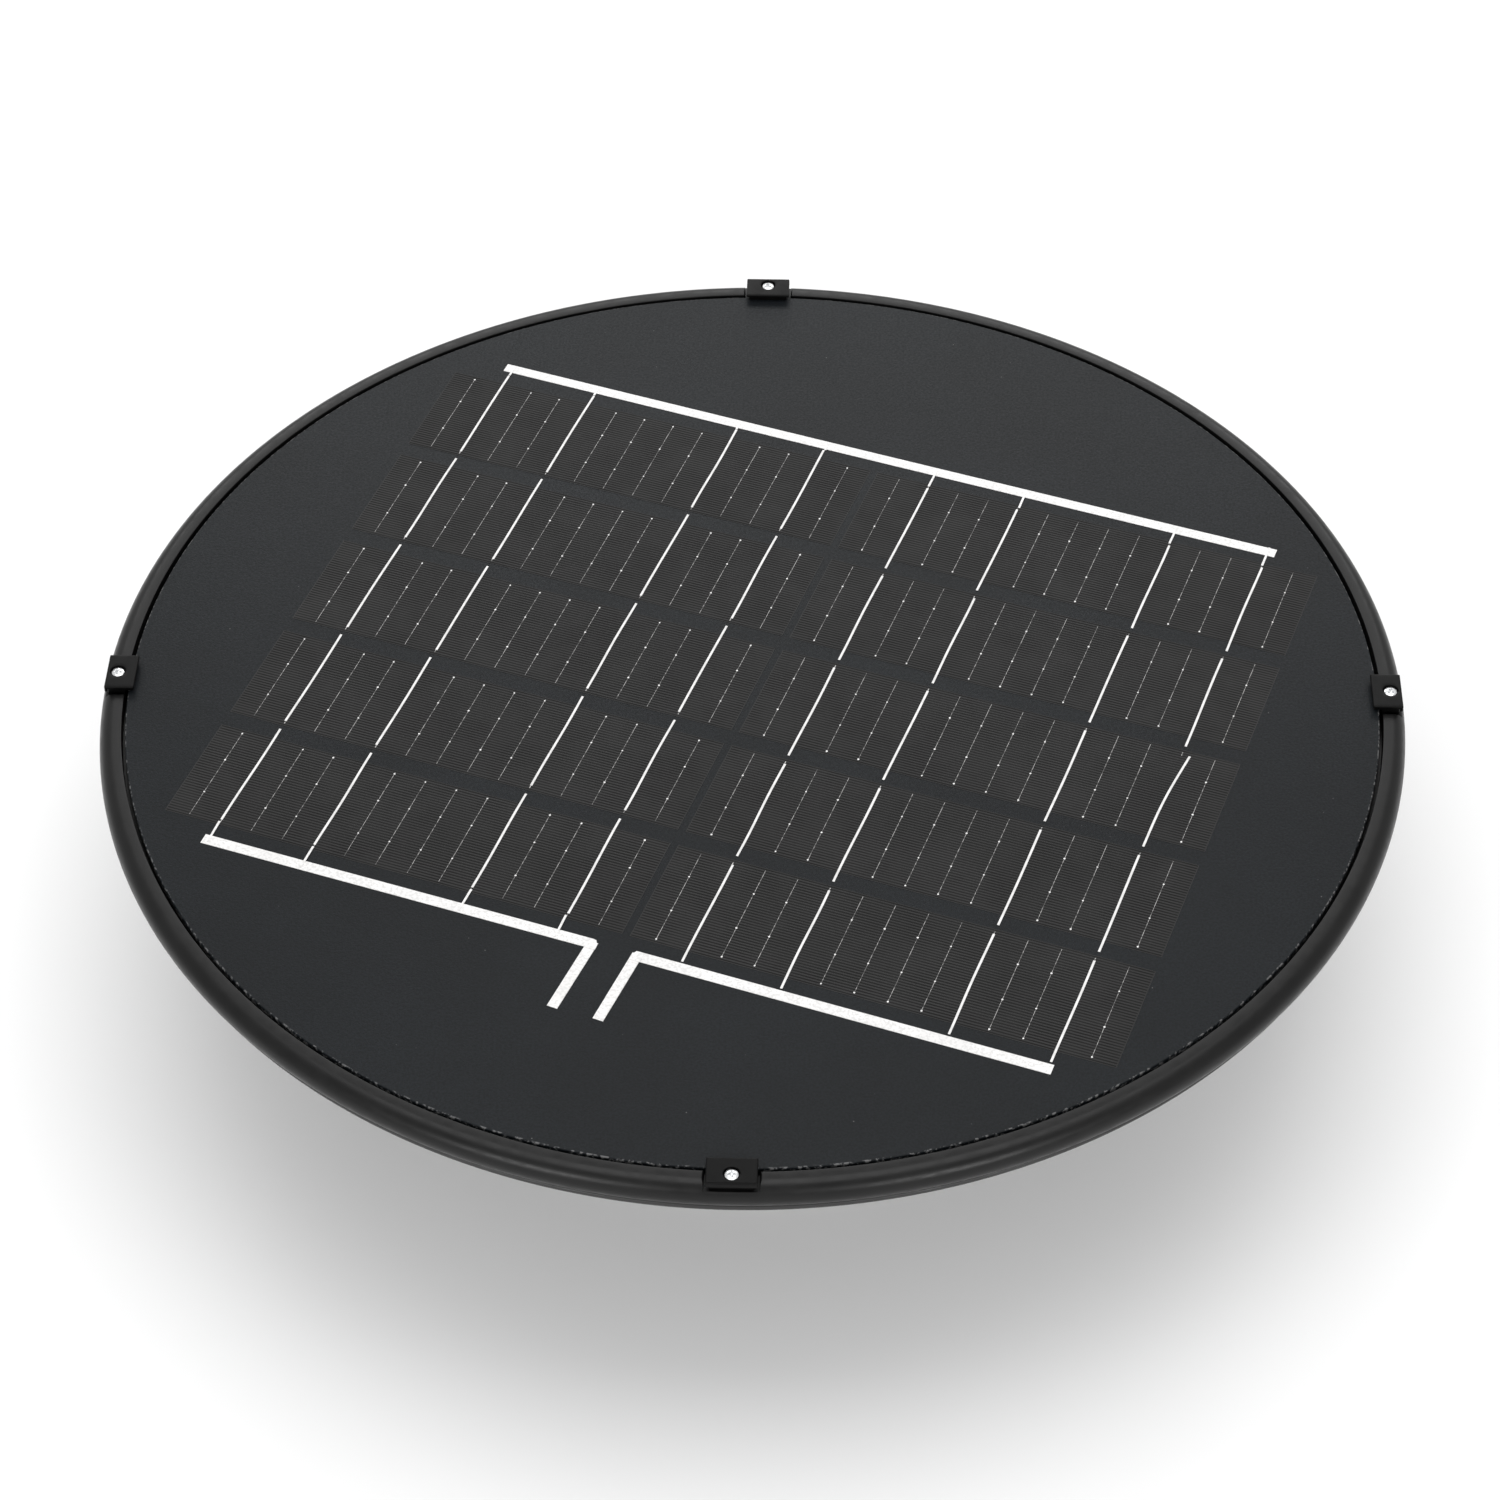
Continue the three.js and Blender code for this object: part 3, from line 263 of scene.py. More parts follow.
def moved(points, x=0.0, y=0.0, z=0.0, turn=0.0):
    """Points turned about the Z axis by turn, in radians, after a shift by x, y and z."""
    points = np.asarray(points, dtype=float).reshape(-1, 3) + (x, y, z)
    c, s = math.cos(turn), math.sin(turn)
    return points @ np.array([[c, s, 0], [-s, c, 0], [0, 0, 1]])


# %% [markdown]
# ## Finishes
# A finish is a Principled shader with patterns for its grain. The patterns read the object's own
# coordinates, which are the metres of the model, so a grain has its real size. Noise gives slow
# changes of tone, and a bump gives the fine relief. Numbers that are the same all over a piece
# are set on the shader itself.

# %% Helpers for finishes


class Finish:
    """One material with short ways to add its patterns."""

    def __init__(self, name, colour, roughness, metallic=0.0, specular=0.5, coat=0.0, coat_roughness=0.2):
        self.material = bpy.data.materials.new(name)
        self.material.use_nodes = True
        self.tree = self.material.node_tree
        self.shader = self.tree.nodes["Principled BSDF"]
        self.set("Base Color", (*colour, 1.0))
        self.set("Roughness", roughness)
        self.set("Metallic", metallic)
        self.set("Specular IOR Level", specular)
        self.set("Coat Weight", coat)
        self.set("Coat Roughness", coat_roughness)
        self.place = self.tree.nodes.new("ShaderNodeTexCoord").outputs["Object"]

    def set(self, socket, value):
        self.shader.inputs[socket].default_value = value

    def node(self, kind, **values):
        made = self.tree.nodes.new(kind)
        for key, value in values.items():
            setattr(made, key, value)
        return made

    def link(self, source, target):
        self.tree.links.new(source, target)

    def scaled(self, scale, source=None):
        """The coordinates stretched by scale along each axis."""
        mapping = self.node("ShaderNodeMapping")
        mapping.inputs["Scale"].default_value = scale
        self.link(source or self.place, mapping.inputs["Vector"])
        return mapping.outputs["Vector"]

    def noise(self, size, detail=2.0, source=None, roughness=0.5):
        """Noise whose features are about size across, in metres."""
        made = self.node("ShaderNodeTexNoise")
        made.inputs["Scale"].default_value = 1.0 / size
        made.inputs["Detail"].default_value = detail
        made.inputs["Roughness"].default_value = roughness
        self.link(source or self.place, made.inputs["Vector"])
        return made.outputs["Fac"]

    def cells(self, size, source=None, output="Distance", spread=1.0):
        """A cellular pattern whose cells are about size across, in metres."""
        made = self.node("ShaderNodeTexVoronoi")
        made.inputs["Scale"].default_value = 1.0 / size
        made.inputs["Randomness"].default_value = spread
        self.link(source or self.place, made.inputs["Vector"])
        return made.outputs[output]

    def math(self, operation, a, b=None, c=None):
        made = self.node("ShaderNodeMath", operation=operation)
        for socket, value in zip(made.inputs, (a, b, c)):
            if value is None:
                continue
            if isinstance(value, (int, float)):
                socket.default_value = value
            else:
                self.link(value, socket)
        return made.outputs[0]

    def ramp(self, value, start, end, out_start=0.0, out_end=1.0):
        """value from start to end, mapped on out_start to out_end with soft ends."""
        made = self.node("ShaderNodeMapRange", interpolation_type="SMOOTHSTEP")
        made.inputs["From Min"].default_value = start
        made.inputs["From Max"].default_value = end
        made.inputs["To Min"].default_value = out_start
        made.inputs["To Max"].default_value = out_end
        self.link(value, made.inputs["Value"])
        return made.outputs["Result"]

    def mix(self, factor, colour_a, colour_b):
        made = self.node("ShaderNodeMix", data_type="RGBA")
        for socket, value in ((made.inputs["Factor"], factor), (made.inputs["A"], colour_a),
                              (made.inputs["B"], colour_b)):
            if isinstance(value, tuple):
                socket.default_value = (*value, 1.0)
            elif isinstance(value, (int, float)):
                socket.default_value = value
            else:
                self.link(value, socket)
        return made.outputs["Result"]

    def colour(self, value):
        self.link(value, self.shader.inputs["Base Color"])
        return self

    def roughness(self, value):
        self.link(value, self.shader.inputs["Roughness"])
        return self

    def bump(self, height, depth, strength=1.0):
        """Relief: height from 0 to 1 stands for depth metres."""
        made = self.node("ShaderNodeBump")
        made.inputs["Strength"].default_value = strength
        made.inputs["Distance"].default_value = depth
        self.link(height, made.inputs["Height"])
        self.link(made.outputs["Normal"], self.shader.inputs["Normal"])
        return self


def grey(value, warm=0.0):
    return (value * (1 + warm), value, value * (1 - warm))


# %% [markdown]
# The panel's face is a matt laminate. Its grain is like orange peel, about half a millimetre
# across, and a few pale specks of dust or bubbles sit in it. The cut edge of the sheet shows
# through as a broken whitish line, so the specks crowd together in the last millimetre.

# %% Make the laminate


def laminate_finish(name="panel_laminate"):
    f = Finish(name, grey(0.008), 0.46, specular=0.16)
    tone = f.noise(60 * MM, 3)
    fine = f.noise(1.1 * MM, 2)
    slow = f.mix(f.ramp(tone, 0.3, 0.7), grey(0.0070, -0.22), grey(0.0092, -0.22))
    base = f.mix(f.ramp(fine, 0.35, 0.65, 0.0, 0.45), slow, grey(0.0025, -0.1))
    speck = f.ramp(f.cells(7 * MM), 0.0, 0.055, 1.0, 0.0)
    pick = f.ramp(f.noise(9 * MM, 1), 0.56, 0.62)
    split = f.node("ShaderNodeSeparateXYZ")
    f.link(f.place, split.inputs[0])
    x, y = split.outputs["X"], split.outputs["Y"]
    radius = f.math("SQRT", f.math("ADD", f.math("MULTIPLY", x, x), f.math("MULTIPLY", y, y)))
    edge = f.ramp(radius, board_radius - 0.7 * MM, board_radius - 0.35 * MM)
    edge_speck = f.math("MULTIPLY", edge, f.ramp(f.noise(1.6 * MM, 3), 0.5, 0.62))
    marks = f.math("MAXIMUM", f.math("MULTIPLY", speck, pick), f.math("MULTIPLY", edge_speck, 0.7))
    f.colour(f.mix(marks, base, grey(0.16)))
    f.roughness(f.ramp(fine, 0.3, 0.7, 0.42, 0.52))
    f.bump(f.math("ADD", f.noise(0.55 * MM, 2), f.math("MULTIPLY", f.cells(1.3 * MM), 0.5)), 0.09 * MM)
    return f.material


laminate = laminate_finish()
print("made", laminate.name)

# %% [markdown]
# A cell strip is silicon ruled with thin metal fingers, one every millimetre and a half, across
# the busbars. Under the laminate they show as a fine dark hatching. The pattern follows the
# strip, so it reads the strip's own plane: u along its length and v across it, in metres. The
# hatching stops just short of the edges.

# %% Make the ruled silicon
FINGER_PITCH = 1.5 * MM
CELL_LENGTH = 209 * MM
CELL_WIDTH = 55.5 * MM


def silicon_finish(name="silicon_cell"):
    f = Finish(name, grey(0.017), 0.46, specular=0.16)
    plane = f.node("ShaderNodeUVMap", uv_map="piece_plane").outputs["UV"]
    split = f.node("ShaderNodeSeparateXYZ")
    f.link(plane, split.inputs[0])
    u, v = split.outputs["X"], split.outputs["Y"]
    wave = f.math("COSINE", f.math("MULTIPLY", v, 2 * math.pi / FINGER_PITCH))
    line = f.ramp(wave, -0.55, 0.55)
    inside_v = f.ramp(f.math("ABSOLUTE", v), CELL_WIDTH / 2 - 0.5 * MM, CELL_WIDTH / 2 - 0.2 * MM, 1.0, 0.0)
    inside_u = f.ramp(f.math("ABSOLUTE", u), CELL_LENGTH / 2 - 0.5 * MM, CELL_LENGTH / 2 - 0.2 * MM, 1.0, 0.0)
    line = f.math("MULTIPLY", line, f.math("MULTIPLY", inside_u, inside_v))
    uneven = f.ramp(f.noise(14 * MM, 2), 0.3, 0.7, 0.75, 1.0)
    line = f.math("MULTIPLY", line, uneven)
    tone = f.ramp(f.noise(40 * MM, 2), 0.3, 0.7)
    plain = f.mix(tone, grey(0.018, 0.0), grey(0.022, 0.0))
    f.colour(f.mix(line, plain, grey(0.003, 0.04)))
    f.roughness(f.ramp(line, 0.0, 1.0, 0.44, 0.7))
    f.bump(f.math("ADD", f.noise(0.55 * MM, 2), f.math("MULTIPLY", line, -0.6)), 0.03 * MM)
    return f.material


silicon = silicon_finish()
print("made", silicon.name)

# %% [markdown]
# The ribbons and bus strips are copper dipped in tin. The tin is pale and dull, with grey
# freckles where the flux sat. Only a small share of it is mixed as a metal, because a tinned strip
# under a laminate looks nearly white from every side.

# %% Make the tinned copper


def tinned_finish(name="tinned_copper"):
    f = Finish(name, grey(0.7), 0.42, metallic=0.25, specular=0.5)
    freckles = f.ramp(f.noise(1.1 * MM, 3), 0.36, 0.56)
    slow = f.ramp(f.noise(12 * MM, 2), 0.3, 0.7)
    base = f.mix(slow, grey(0.68, 0.01), grey(0.76, 0.01))
    f.colour(f.mix(freckles, grey(0.60, 0.01), base))
    f.bump(f.noise(0.9 * MM, 2), 0.03 * MM)
    return f.material


def ribbon_finish(name="soldered_ribbon"):
    f = Finish(name, grey(0.8), 0.4, metallic=0.1, specular=0.5)
    f.colour(f.mix(f.ramp(f.noise(5 * MM, 3), 0.35, 0.65), grey(0.62, 0.01), grey(0.74, 0.01)))
    f.bump(f.noise(0.8 * MM, 2), 0.02 * MM)
    return f.material


def paste_finish(name="silver_paste"):
    f = Finish(name, grey(0.25), 0.5, specular=0.4)
    f.colour(f.mix(f.ramp(f.noise(1.7 * MM, 2), 0.42, 0.58), grey(0.10, 0.02), grey(0.42, 0.02)))
    return f.material


tinned = tinned_finish()
ribbon_tin = ribbon_finish()
silver_paste = paste_finish()

# %% [markdown]
# The rim and the clips are black plastic. The rim has a satin skin with a very fine grain, and it
# reflects long soft streaks. The clips come from a smoother mould.

# %% Make the black plastics


def moulding_finish(name, base, specular, low_roughness, high_roughness, grain, depth):
    f = Finish(name, grey(base), low_roughness, specular=specular)
    slow = f.noise(25 * MM, 3)
    f.colour(f.mix(f.ramp(slow, 0.3, 0.7), grey(base * 0.8), grey(base * 1.25, 0.02)))
    scuffs = f.noise(6 * MM, 4, f.scaled((1.0, 1.0, 4.0)))
    f.roughness(f.ramp(scuffs, 0.35, 0.7, low_roughness, high_roughness))
    f.bump(f.noise(grain, 2), depth)
    return f.material


moulding = moulding_finish("black_moulding", 0.003, 0.26, 0.31, 0.41, 0.6 * MM, 0.018 * MM)
clip_plastic = moulding_finish("black_plastic", 0.0015, 0.12, 0.38, 0.48, 0.45 * MM, 0.012 * MM)

# %% [markdown]
# Powder coat melts into a skin like orange peel, a millimetre or two across. It is used on the
# hood's pan, the flange and the motor's can.

# %% Make the powder coat


def powder_finish(name="black_powder_coat", base=0.014):
    f = Finish(name, grey(base), 0.42, specular=0.5)
    peel = f.noise(1.6 * MM, 2)
    slow = f.noise(45 * MM, 3)
    f.colour(f.mix(f.ramp(slow, 0.3, 0.7), grey(base * 0.85), grey(base * 1.2)))
    f.roughness(f.ramp(f.noise(9 * MM, 3), 0.3, 0.7, 0.38, 0.5))
    f.bump(f.math("ADD", peel, f.math("MULTIPLY", f.noise(0.4 * MM, 1), 0.3)), 0.05 * MM)
    return f.material


powder = powder_finish()

# %% [markdown]
# Sheet metals differ in how their surface was made. Mill aluminium carries long rolling lines.
# Galvanised steel has crystals of zinc, a few millimetres across, each a slightly different grey.
# Turned steel has rings of tool marks. Zinc-plated screws are bright, with faint handling marks.

# %% Make the metals


def mill_finish(name="mill_aluminium", stretch=(1.0, 1.0, 14.0)):
    f = Finish(name, grey(0.60), 0.36, metallic=1.0)
    lines = f.noise(2.2 * MM, 4, f.scaled(stretch), 0.65)
    slow = f.noise(50 * MM, 3)
    shade = f.mix(f.ramp(lines, 0.3, 0.7), grey(0.50), grey(0.62))
    f.colour(f.mix(f.ramp(slow, 0.35, 0.7, 0.0, 0.35), shade, grey(0.44, 0.01)))
    f.roughness(f.ramp(lines, 0.3, 0.7, 0.30, 0.46))
    f.bump(lines, 0.012 * MM)
    return f.material


def galvanised_finish(name="galvanised_steel"):
    f = Finish(name, grey(0.5), 0.42, metallic=0.9)
    spangle = f.cells(6 * MM, output="Color")
    split = f.node("ShaderNodeSeparateColor")
    f.link(spangle, split.inputs[0])
    tone = split.outputs[0]
    cloud = f.noise(30 * MM, 3)
    shade = f.mix(tone, grey(0.42, -0.01), grey(0.58, -0.01))
    f.colour(f.mix(f.ramp(cloud, 0.45, 0.75, 0.0, 0.5), shade, grey(0.36)))
    f.roughness(f.ramp(tone, 0.0, 1.0, 0.34, 0.52))
    f.bump(f.noise(1.2 * MM, 2), 0.012 * MM)
    return f.material


def turned_steel_finish(name="bright_steel"):
    f = Finish(name, grey(0.5), 0.28, metallic=1.0)
    rings = f.noise(0.5 * MM, 2, f.scaled((0.2, 0.2, 3.0)))
    f.colour(f.mix(f.ramp(f.noise(9 * MM, 2), 0.3, 0.7), grey(0.44), grey(0.56)))
    f.roughness(f.ramp(rings, 0.3, 0.7, 0.22, 0.36))
    f.bump(rings, 0.008 * MM)
    return f.material


def zinc_finish(name="zinc_plated_steel"):
    f = Finish(name, grey(0.8), 0.24, metallic=0.85)
    f.colour(f.mix(f.ramp(f.noise(1.3 * MM, 3), 0.35, 0.7), grey(0.70, -0.01), grey(0.88, -0.01)))
    f.roughness(f.ramp(f.noise(0.8 * MM, 3), 0.3, 0.7, 0.2, 0.36))
    f.bump(f.noise(0.3 * MM, 2), 0.01 * MM)
    return f.material


mill = mill_finish()
galvanised = galvanised_finish()
turned_steel = turned_steel_finish()
zinc = zinc_finish()

# %% [markdown]
# Rubber and foam are nearly black and reflect little. Foam has open bubbles on its cut face.
# Enamelled copper shows as a warm brown, laid in fine turns.

# %% Make the soft and wound finishes


def rubber_finish(name, base, rough, grain, depth):
    f = Finish(name, grey(base), rough, specular=0.3)
    f.colour(f.mix(f.ramp(f.noise(8 * MM, 3), 0.3, 0.7), grey(base * 0.8), grey(base * 1.3)))
    f.bump(f.cells(grain), depth)
    return f.material


def winding_finish(name="copper_winding"):
    f = Finish(name, (0.36, 0.15, 0.06), 0.35, metallic=0.7)
    turns = f.math("SINE", f.math("MULTIPLY", f.noise(3 * MM, 2, f.scaled((1, 1, 6))), 40.0))
    f.colour(f.mix(f.ramp(turns, -1.0, 1.0), (0.24, 0.09, 0.035), (0.42, 0.18, 0.07)))
    f.bump(turns, 0.05 * MM)
    return f.material


rubber = rubber_finish("black_rubber", 0.012, 0.62, 0.5 * MM, 0.02 * MM)
foam = rubber_finish("closed_cell_foam", 0.010, 0.92, 1.1 * MM, 0.25 * MM)
winding = winding_finish()
print("finishes:", len(bpy.data.materials))


def stands_for(made, slot, *nodes):
    """Hides the solids that a finished piece stands for; slot, the name of its finish, is not used."""
    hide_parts(*nodes)
    return made


# %% [markdown]
# ## The panel
# The panel is a flat disc. Only its edge has a shape: it is ground to a small bevel, which
# catches a thin line of light beside the groove.

# %% Turn the panel and its gasket
stands_for(lathe("panel_face", [
    (0, board_bottom), (board_radius, board_bottom), (board_radius, board_top), (0, board_top),
], (0, 0.3 * MM, 0.55 * MM, 0), laminate, segments=480, closed=False), "panel_laminate", "pv_board")

gasket_low, gasket_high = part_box("panel_gasket")
GASKET_INNER = 258 * MM
stands_for(lathe("gasket", [
    (GASKET_INNER, gasket_low.z), (gasket_high.x, gasket_low.z),
    (gasket_high.x, gasket_high.z), (GASKET_INNER, gasket_high.z),
], 0.6 * MM, foam), "closed_cell_foam", "panel_gasket")
print("panel radius", round(board_radius / MM, 1), "mm")

# %% [markdown]
# ## The cell grid
# Ten strips lie in two columns of five, turned on the disc. Fourteen busbars cross each strip.
# Four of them carry a wide soldered ribbon; the other ten are hair-thin lines with three solder
# pads. The right column is the left one turned by half a turn, so that the current runs up one
# column and down the other.

# %% Lay out the grid
GRID_TURN = math.radians(-18.8)
GRID_SHIFT = (2.4 * MM, -2.4 * MM)
ROW_PITCH = 63.9 * MM
COLUMN_GAP = 3.4 * MM
BUSBARS = 14
BUSBAR_PITCH = 14.4 * MM
TABBED = (2, 5, 10, 13)
ROWS = 5
cell_low_z = low("cell_strip_01").z
strip_top = cell_low_z + 0.06 * MM
random = np.random.default_rng(7)


def on_grid(points):
    """From the grid's own axes to the model's."""
    return moved(points, turn=GRID_TURN) + (*GRID_SHIFT, 0)


def ribbon_shell(line, width, thickness, base):
    """A flat strip along a line of (x, y) points: a section of four corners, wider than high, with bevelled
    top edges, carried along the line and closed at both ends. base is the height of its underside."""
    line = np.asarray(line, dtype=float)
    ahead = np.gradient(line, axis=0)
    ahead /= np.linalg.norm(ahead, axis=1)[:, None]
    aside = np.stack([-ahead[:, 1], ahead[:, 0]], axis=1)
    bevel = min(0.35 * thickness, 0.2 * width)
    across = np.array([-1, -1, 1, 1]) * width / 2 + np.array([0, bevel, -bevel, 0])
    height = np.array([0, 1, 1, 0]) * thickness
    points = np.empty((len(line), 4, 3))
    points[..., :2] = line[:, None] + aside[:, None] * across[None, :, None]
    points[..., 2] = base + height
    first, last = points[0].mean(axis=0), points[-1].mean(axis=0)
    points = np.concatenate([np.broadcast_to(first, (1, 4, 3)), points, np.broadcast_to(last, (1, 4, 3))])
    return points.reshape(-1, 3), grid_faces(len(points), 4, False, True)


def slab_shell(half_u, half_v, bottom, top, bevel):
    """A thin rectangular plate with a bevelled upper edge, and its own plane coordinates."""
    rings = [(0, bottom), (1, bottom), (1, top - bevel), (1 - bevel / half_v, top), (0, top)]
    corners = np.array([(-1, -1), (1, -1), (1, 1), (-1, 1)], dtype=float)
    size = np.array([half_u, half_v])
    points = np.empty((len(rings), 4, 3))
    for k, (share, height) in enumerate(rings):
        points[k, :, :2] = corners * (size - (1 - share) * half_v * (share > 0)) * (share > 0)
        points[k, :, 2] = height
    return points.reshape(-1, 3), grid_faces(len(rings), 4, False, True)


def disc_shell(x, y, radius, base, height, corners=10):
    """A low round pad: a ring at its foot, a smaller ring on its top, closed at both poles."""
    angle = np.linspace(0, 2 * np.pi, corners, endpoint=False)
    section = np.array([(0, 0), (1, 0), (1, 0.4), (0.75, 1), (0, 1)])
    points = np.empty((len(section), corners, 3))
    points[..., 0] = x + radius * section[:, :1] * np.cos(angle)
    points[..., 1] = y + radius * section[:, :1] * np.sin(angle)
    points[..., 2] = base + height * section[:, 1:]
    return points.reshape(-1, 3), grid_faces(len(section), corners, False, True)


# %% [markdown]
# Each strip gets two pieces: the ruled silicon, and the metal on it. The ribbons are hand-laid, so
# each wanders sideways by a tenth of a millimetre or two, and one of them was caught at its end
# and pulled aside.

# %% Make the strips and their metal
RIBBON_WIDTH = 1.05 * MM
RIBBON_THICKNESS = 0.16 * MM
RIBBON_OVERHANG = 6.0 * MM
RIBBON_INSET = 3.0 * MM
BAR_WIDTH = 0.2 * MM
BAR_MARGIN = 1.4 * MM
PAD_RADIUS = 0.43 * MM
PAD_PLACES = (0.985, 0.66, 0.27)
PULLED_STRIP = 8
PULLED_BUSBAR = 2


def metal_shells(number):
    """Ribbons with pads, and thin busbars, of one strip, in the strip's own axes."""
    shells, bars = [], []
    half = CELL_WIDTH / 2
    t = np.linspace(0, 1, 15)
    for bar in range(1, BUSBARS + 1):
        x = (bar - (BUSBARS + 1) / 2) * BUSBAR_PITCH
        if bar in TABBED:
            y = -half + RIBBON_INSET + t * (2 * half - RIBBON_INSET + RIBBON_OVERHANG)
            sway = 0.16 * MM * np.sin(t * random.uniform(3, 7) + random.uniform(0, 6))
            sway += random.normal(0, 0.12 * MM)
            if number == PULLED_STRIP and bar == PULLED_BUSBAR:
                sway -= 3.4 * MM * (1 - t) ** 2
            shells.append(ribbon_shell(np.stack([x + sway, y], 1), RIBBON_WIDTH, RIBBON_THICKNESS,
                                       strip_top + 0.02 * MM))
            ends = np.array([[x, -half + BAR_MARGIN], [x, -half + RIBBON_INSET + 0.5 * MM]])
            bars.append(ribbon_shell(ends, 2 * BAR_WIDTH, 0.03 * MM, strip_top + 0.005 * MM))
            continue
        ends = np.array([[x, BAR_MARGIN - half], [x, half - BAR_MARGIN]])
        bars.append(ribbon_shell(ends, BAR_WIDTH, 0.03 * MM, strip_top + 0.005 * MM))
        for place in PAD_PLACES:
            y = -half + BAR_MARGIN + place * (2 * half - 2 * BAR_MARGIN)
            shells.append(disc_shell(x, y, PAD_RADIUS * random.uniform(0.85, 1.1), strip_top, 0.06 * MM))
    return shells, bars


number = 0
for side in (-1, 1):
    for row in range(ROWS):
        number += 1
        centre = (side * (CELL_LENGTH + COLUMN_GAP) / 2, ((ROWS - 1) / 2 - row) * ROW_PITCH)
        turn = 0.0 if side < 0 else math.pi
        node = f"cell_strip_{number:02d}"
        flat, faces = joined(*slab_shell(CELL_LENGTH / 2, CELL_WIDTH / 2, cell_low_z, strip_top, 0.03 * MM))
        placed = on_grid(moved(flat, turn=turn) + (*centre, 0))
        strip = piece(f"strip_{number:02d}", placed, faces, silicon, plane=flat[:, :2])
        stands_for(strip, "silicon_cell", node)
        kinds, finishes = ("ribbons", "busbars"), (ribbon_tin, silver_paste)
        for kind, shells, finish in zip(kinds, metal_shells(number), finishes):
            shells = [(on_grid(moved(points, turn=turn) + (*centre, 0)), faces) for points, faces in shells]
            several(f"strip_{kind}_{number:02d}", shells, finish)
print("strips:", number)

# %% [markdown]
# ## The bus strips
# A wide strip gathers the four ribbons of both columns at the far end. At the near end there is
# one strip for each column, and each is folded over at its inner end and runs down to the
# junction box as a lead. Short tails join the end strips to the buses.

# %% Make the bus strips
BUS_WIDTH = 5.3 * MM
BUS_THICKNESS = 0.2 * MM
BUS_OFFSET = 165.3 * MM
LEAD_WIDTH = 4.7 * MM
LEAD_REACH = 203 * MM
TAIL_FROM = 153.8 * MM
bus_base = low("bus_far").z + 0.01 * MM


def straight(start, end, count=9, bow=0.0):
    """Points from start to end, with a bow sideways that is largest in the middle."""
    start, end = np.asarray(start, dtype=float), np.asarray(end, dtype=float)
    t = np.linspace(0, 1, count)[:, None]
    aside = np.array([end[1] - start[1], start[0] - end[0]]) / np.linalg.norm(end - start)
    return start + (end - start) * t + aside * bow * 4 * t * (1 - t)


def tail_shells(side, far):
    """Tails of one column, from its end strip to its bus."""
    shells = []
    sign = 1 if far else -1
    for bar in TABBED:
        x = side * (CELL_LENGTH + COLUMN_GAP) / 2 + (bar - (BUSBARS + 1) / 2) * BUSBAR_PITCH
        lean = random.normal(0, 0.25 * MM)
        inner = TAIL_FROM if (side > 0) == far else TAIL_FROM + 8 * MM
        line = straight((x + lean, sign * inner), (x, sign * (BUS_OFFSET + 1.2 * MM)), 5)
        shells.append(ribbon_shell(line, RIBBON_WIDTH, RIBBON_THICKNESS, bus_base + BUS_THICKNESS * 0.96))
    return shells


def raised(shells):
    return [(on_grid(points), faces) for points, faces in shells]


far_line = straight((-189.5 * MM, BUS_OFFSET + 1.55 * MM), (189 * MM, BUS_OFFSET - 1.5 * MM), 40, 0.3 * MM)
far_shells = [ribbon_shell(far_line, BUS_WIDTH, BUS_THICKNESS, bus_base)]
far_shells += tail_shells(-1, True) + tail_shells(1, True)
stands_for(several("far_bus", raised(far_shells), tinned), "tinned_copper", "bus_far")

LEFT_END, LEFT_FOLD = -188 * MM, -8.8 * MM
RIGHT_END, RIGHT_FOLD = 187 * MM, 6.2 * MM
left_shells = [ribbon_shell(straight((LEFT_END, -BUS_OFFSET),
                                     (LEFT_FOLD - 2.2 * MM, -BUS_OFFSET + 0.4 * MM), 30),
                            BUS_WIDTH, BUS_THICKNESS, bus_base)]
left_shells += tail_shells(-1, False)
right_shells = [ribbon_shell(straight((RIGHT_FOLD + 2.2 * MM, -BUS_OFFSET + 0.2 * MM),
                                      (RIGHT_END, -BUS_OFFSET), 30),
                             BUS_WIDTH, BUS_THICKNESS, bus_base)]


def folded_lead(fold_x, end_x, outward):
    """The lead and its mitred fold: a four-sided plate whose outer corner is cut at a slant, and a
    strip from it to the lead's end."""
    half = BUS_WIDTH / 2
    y0 = -BUS_OFFSET
    corner = np.array([
        (fold_x - outward * 4.9 * MM, y0 - half), (fold_x - outward * 4.9 * MM, y0 + half),
        (fold_x - outward * 1.4 * MM, y0 + half), (fold_x, y0 + half - 2.6 * MM), (fold_x, y0 - half)])
    z = bus_base + BUS_THICKNESS * 1.05
    middle = corner.mean(axis=0)
    top = z + BUS_THICKNESS
    rings = [(0.0, z), (1.0, z), (1.0, z + BUS_THICKNESS * 0.7), (0.97, top), (0.0, top)]
    points = np.empty((len(rings), len(corner), 3))
    for k, (share, height) in enumerate(rings):
        points[k, :, :2] = middle + (corner - middle) * share
        points[k, :, 2] = height
    plate = points.reshape(-1, 3), grid_faces(len(rings), len(corner), False, True)
    start = (fold_x - outward * LEAD_WIDTH / 2, y0 + half - 1.2 * MM)
    lead = ribbon_shell(straight(start, (end_x, -LEAD_REACH), 12), LEAD_WIDTH, BUS_THICKNESS, bus_base)
    return [plate, lead]


left_shells += folded_lead(LEFT_FOLD, -13.4 * MM, 1)
right_shells += folded_lead(RIGHT_FOLD, 6.6 * MM, -1)
stands_for(several("near_left_bus", raised(left_shells), tinned), "tinned_copper", "bus_near_left")
stands_for(several("near_right_bus", raised(right_shells), tinned), "tinned_copper", "bus_near_right")
print("bus strips: 3")

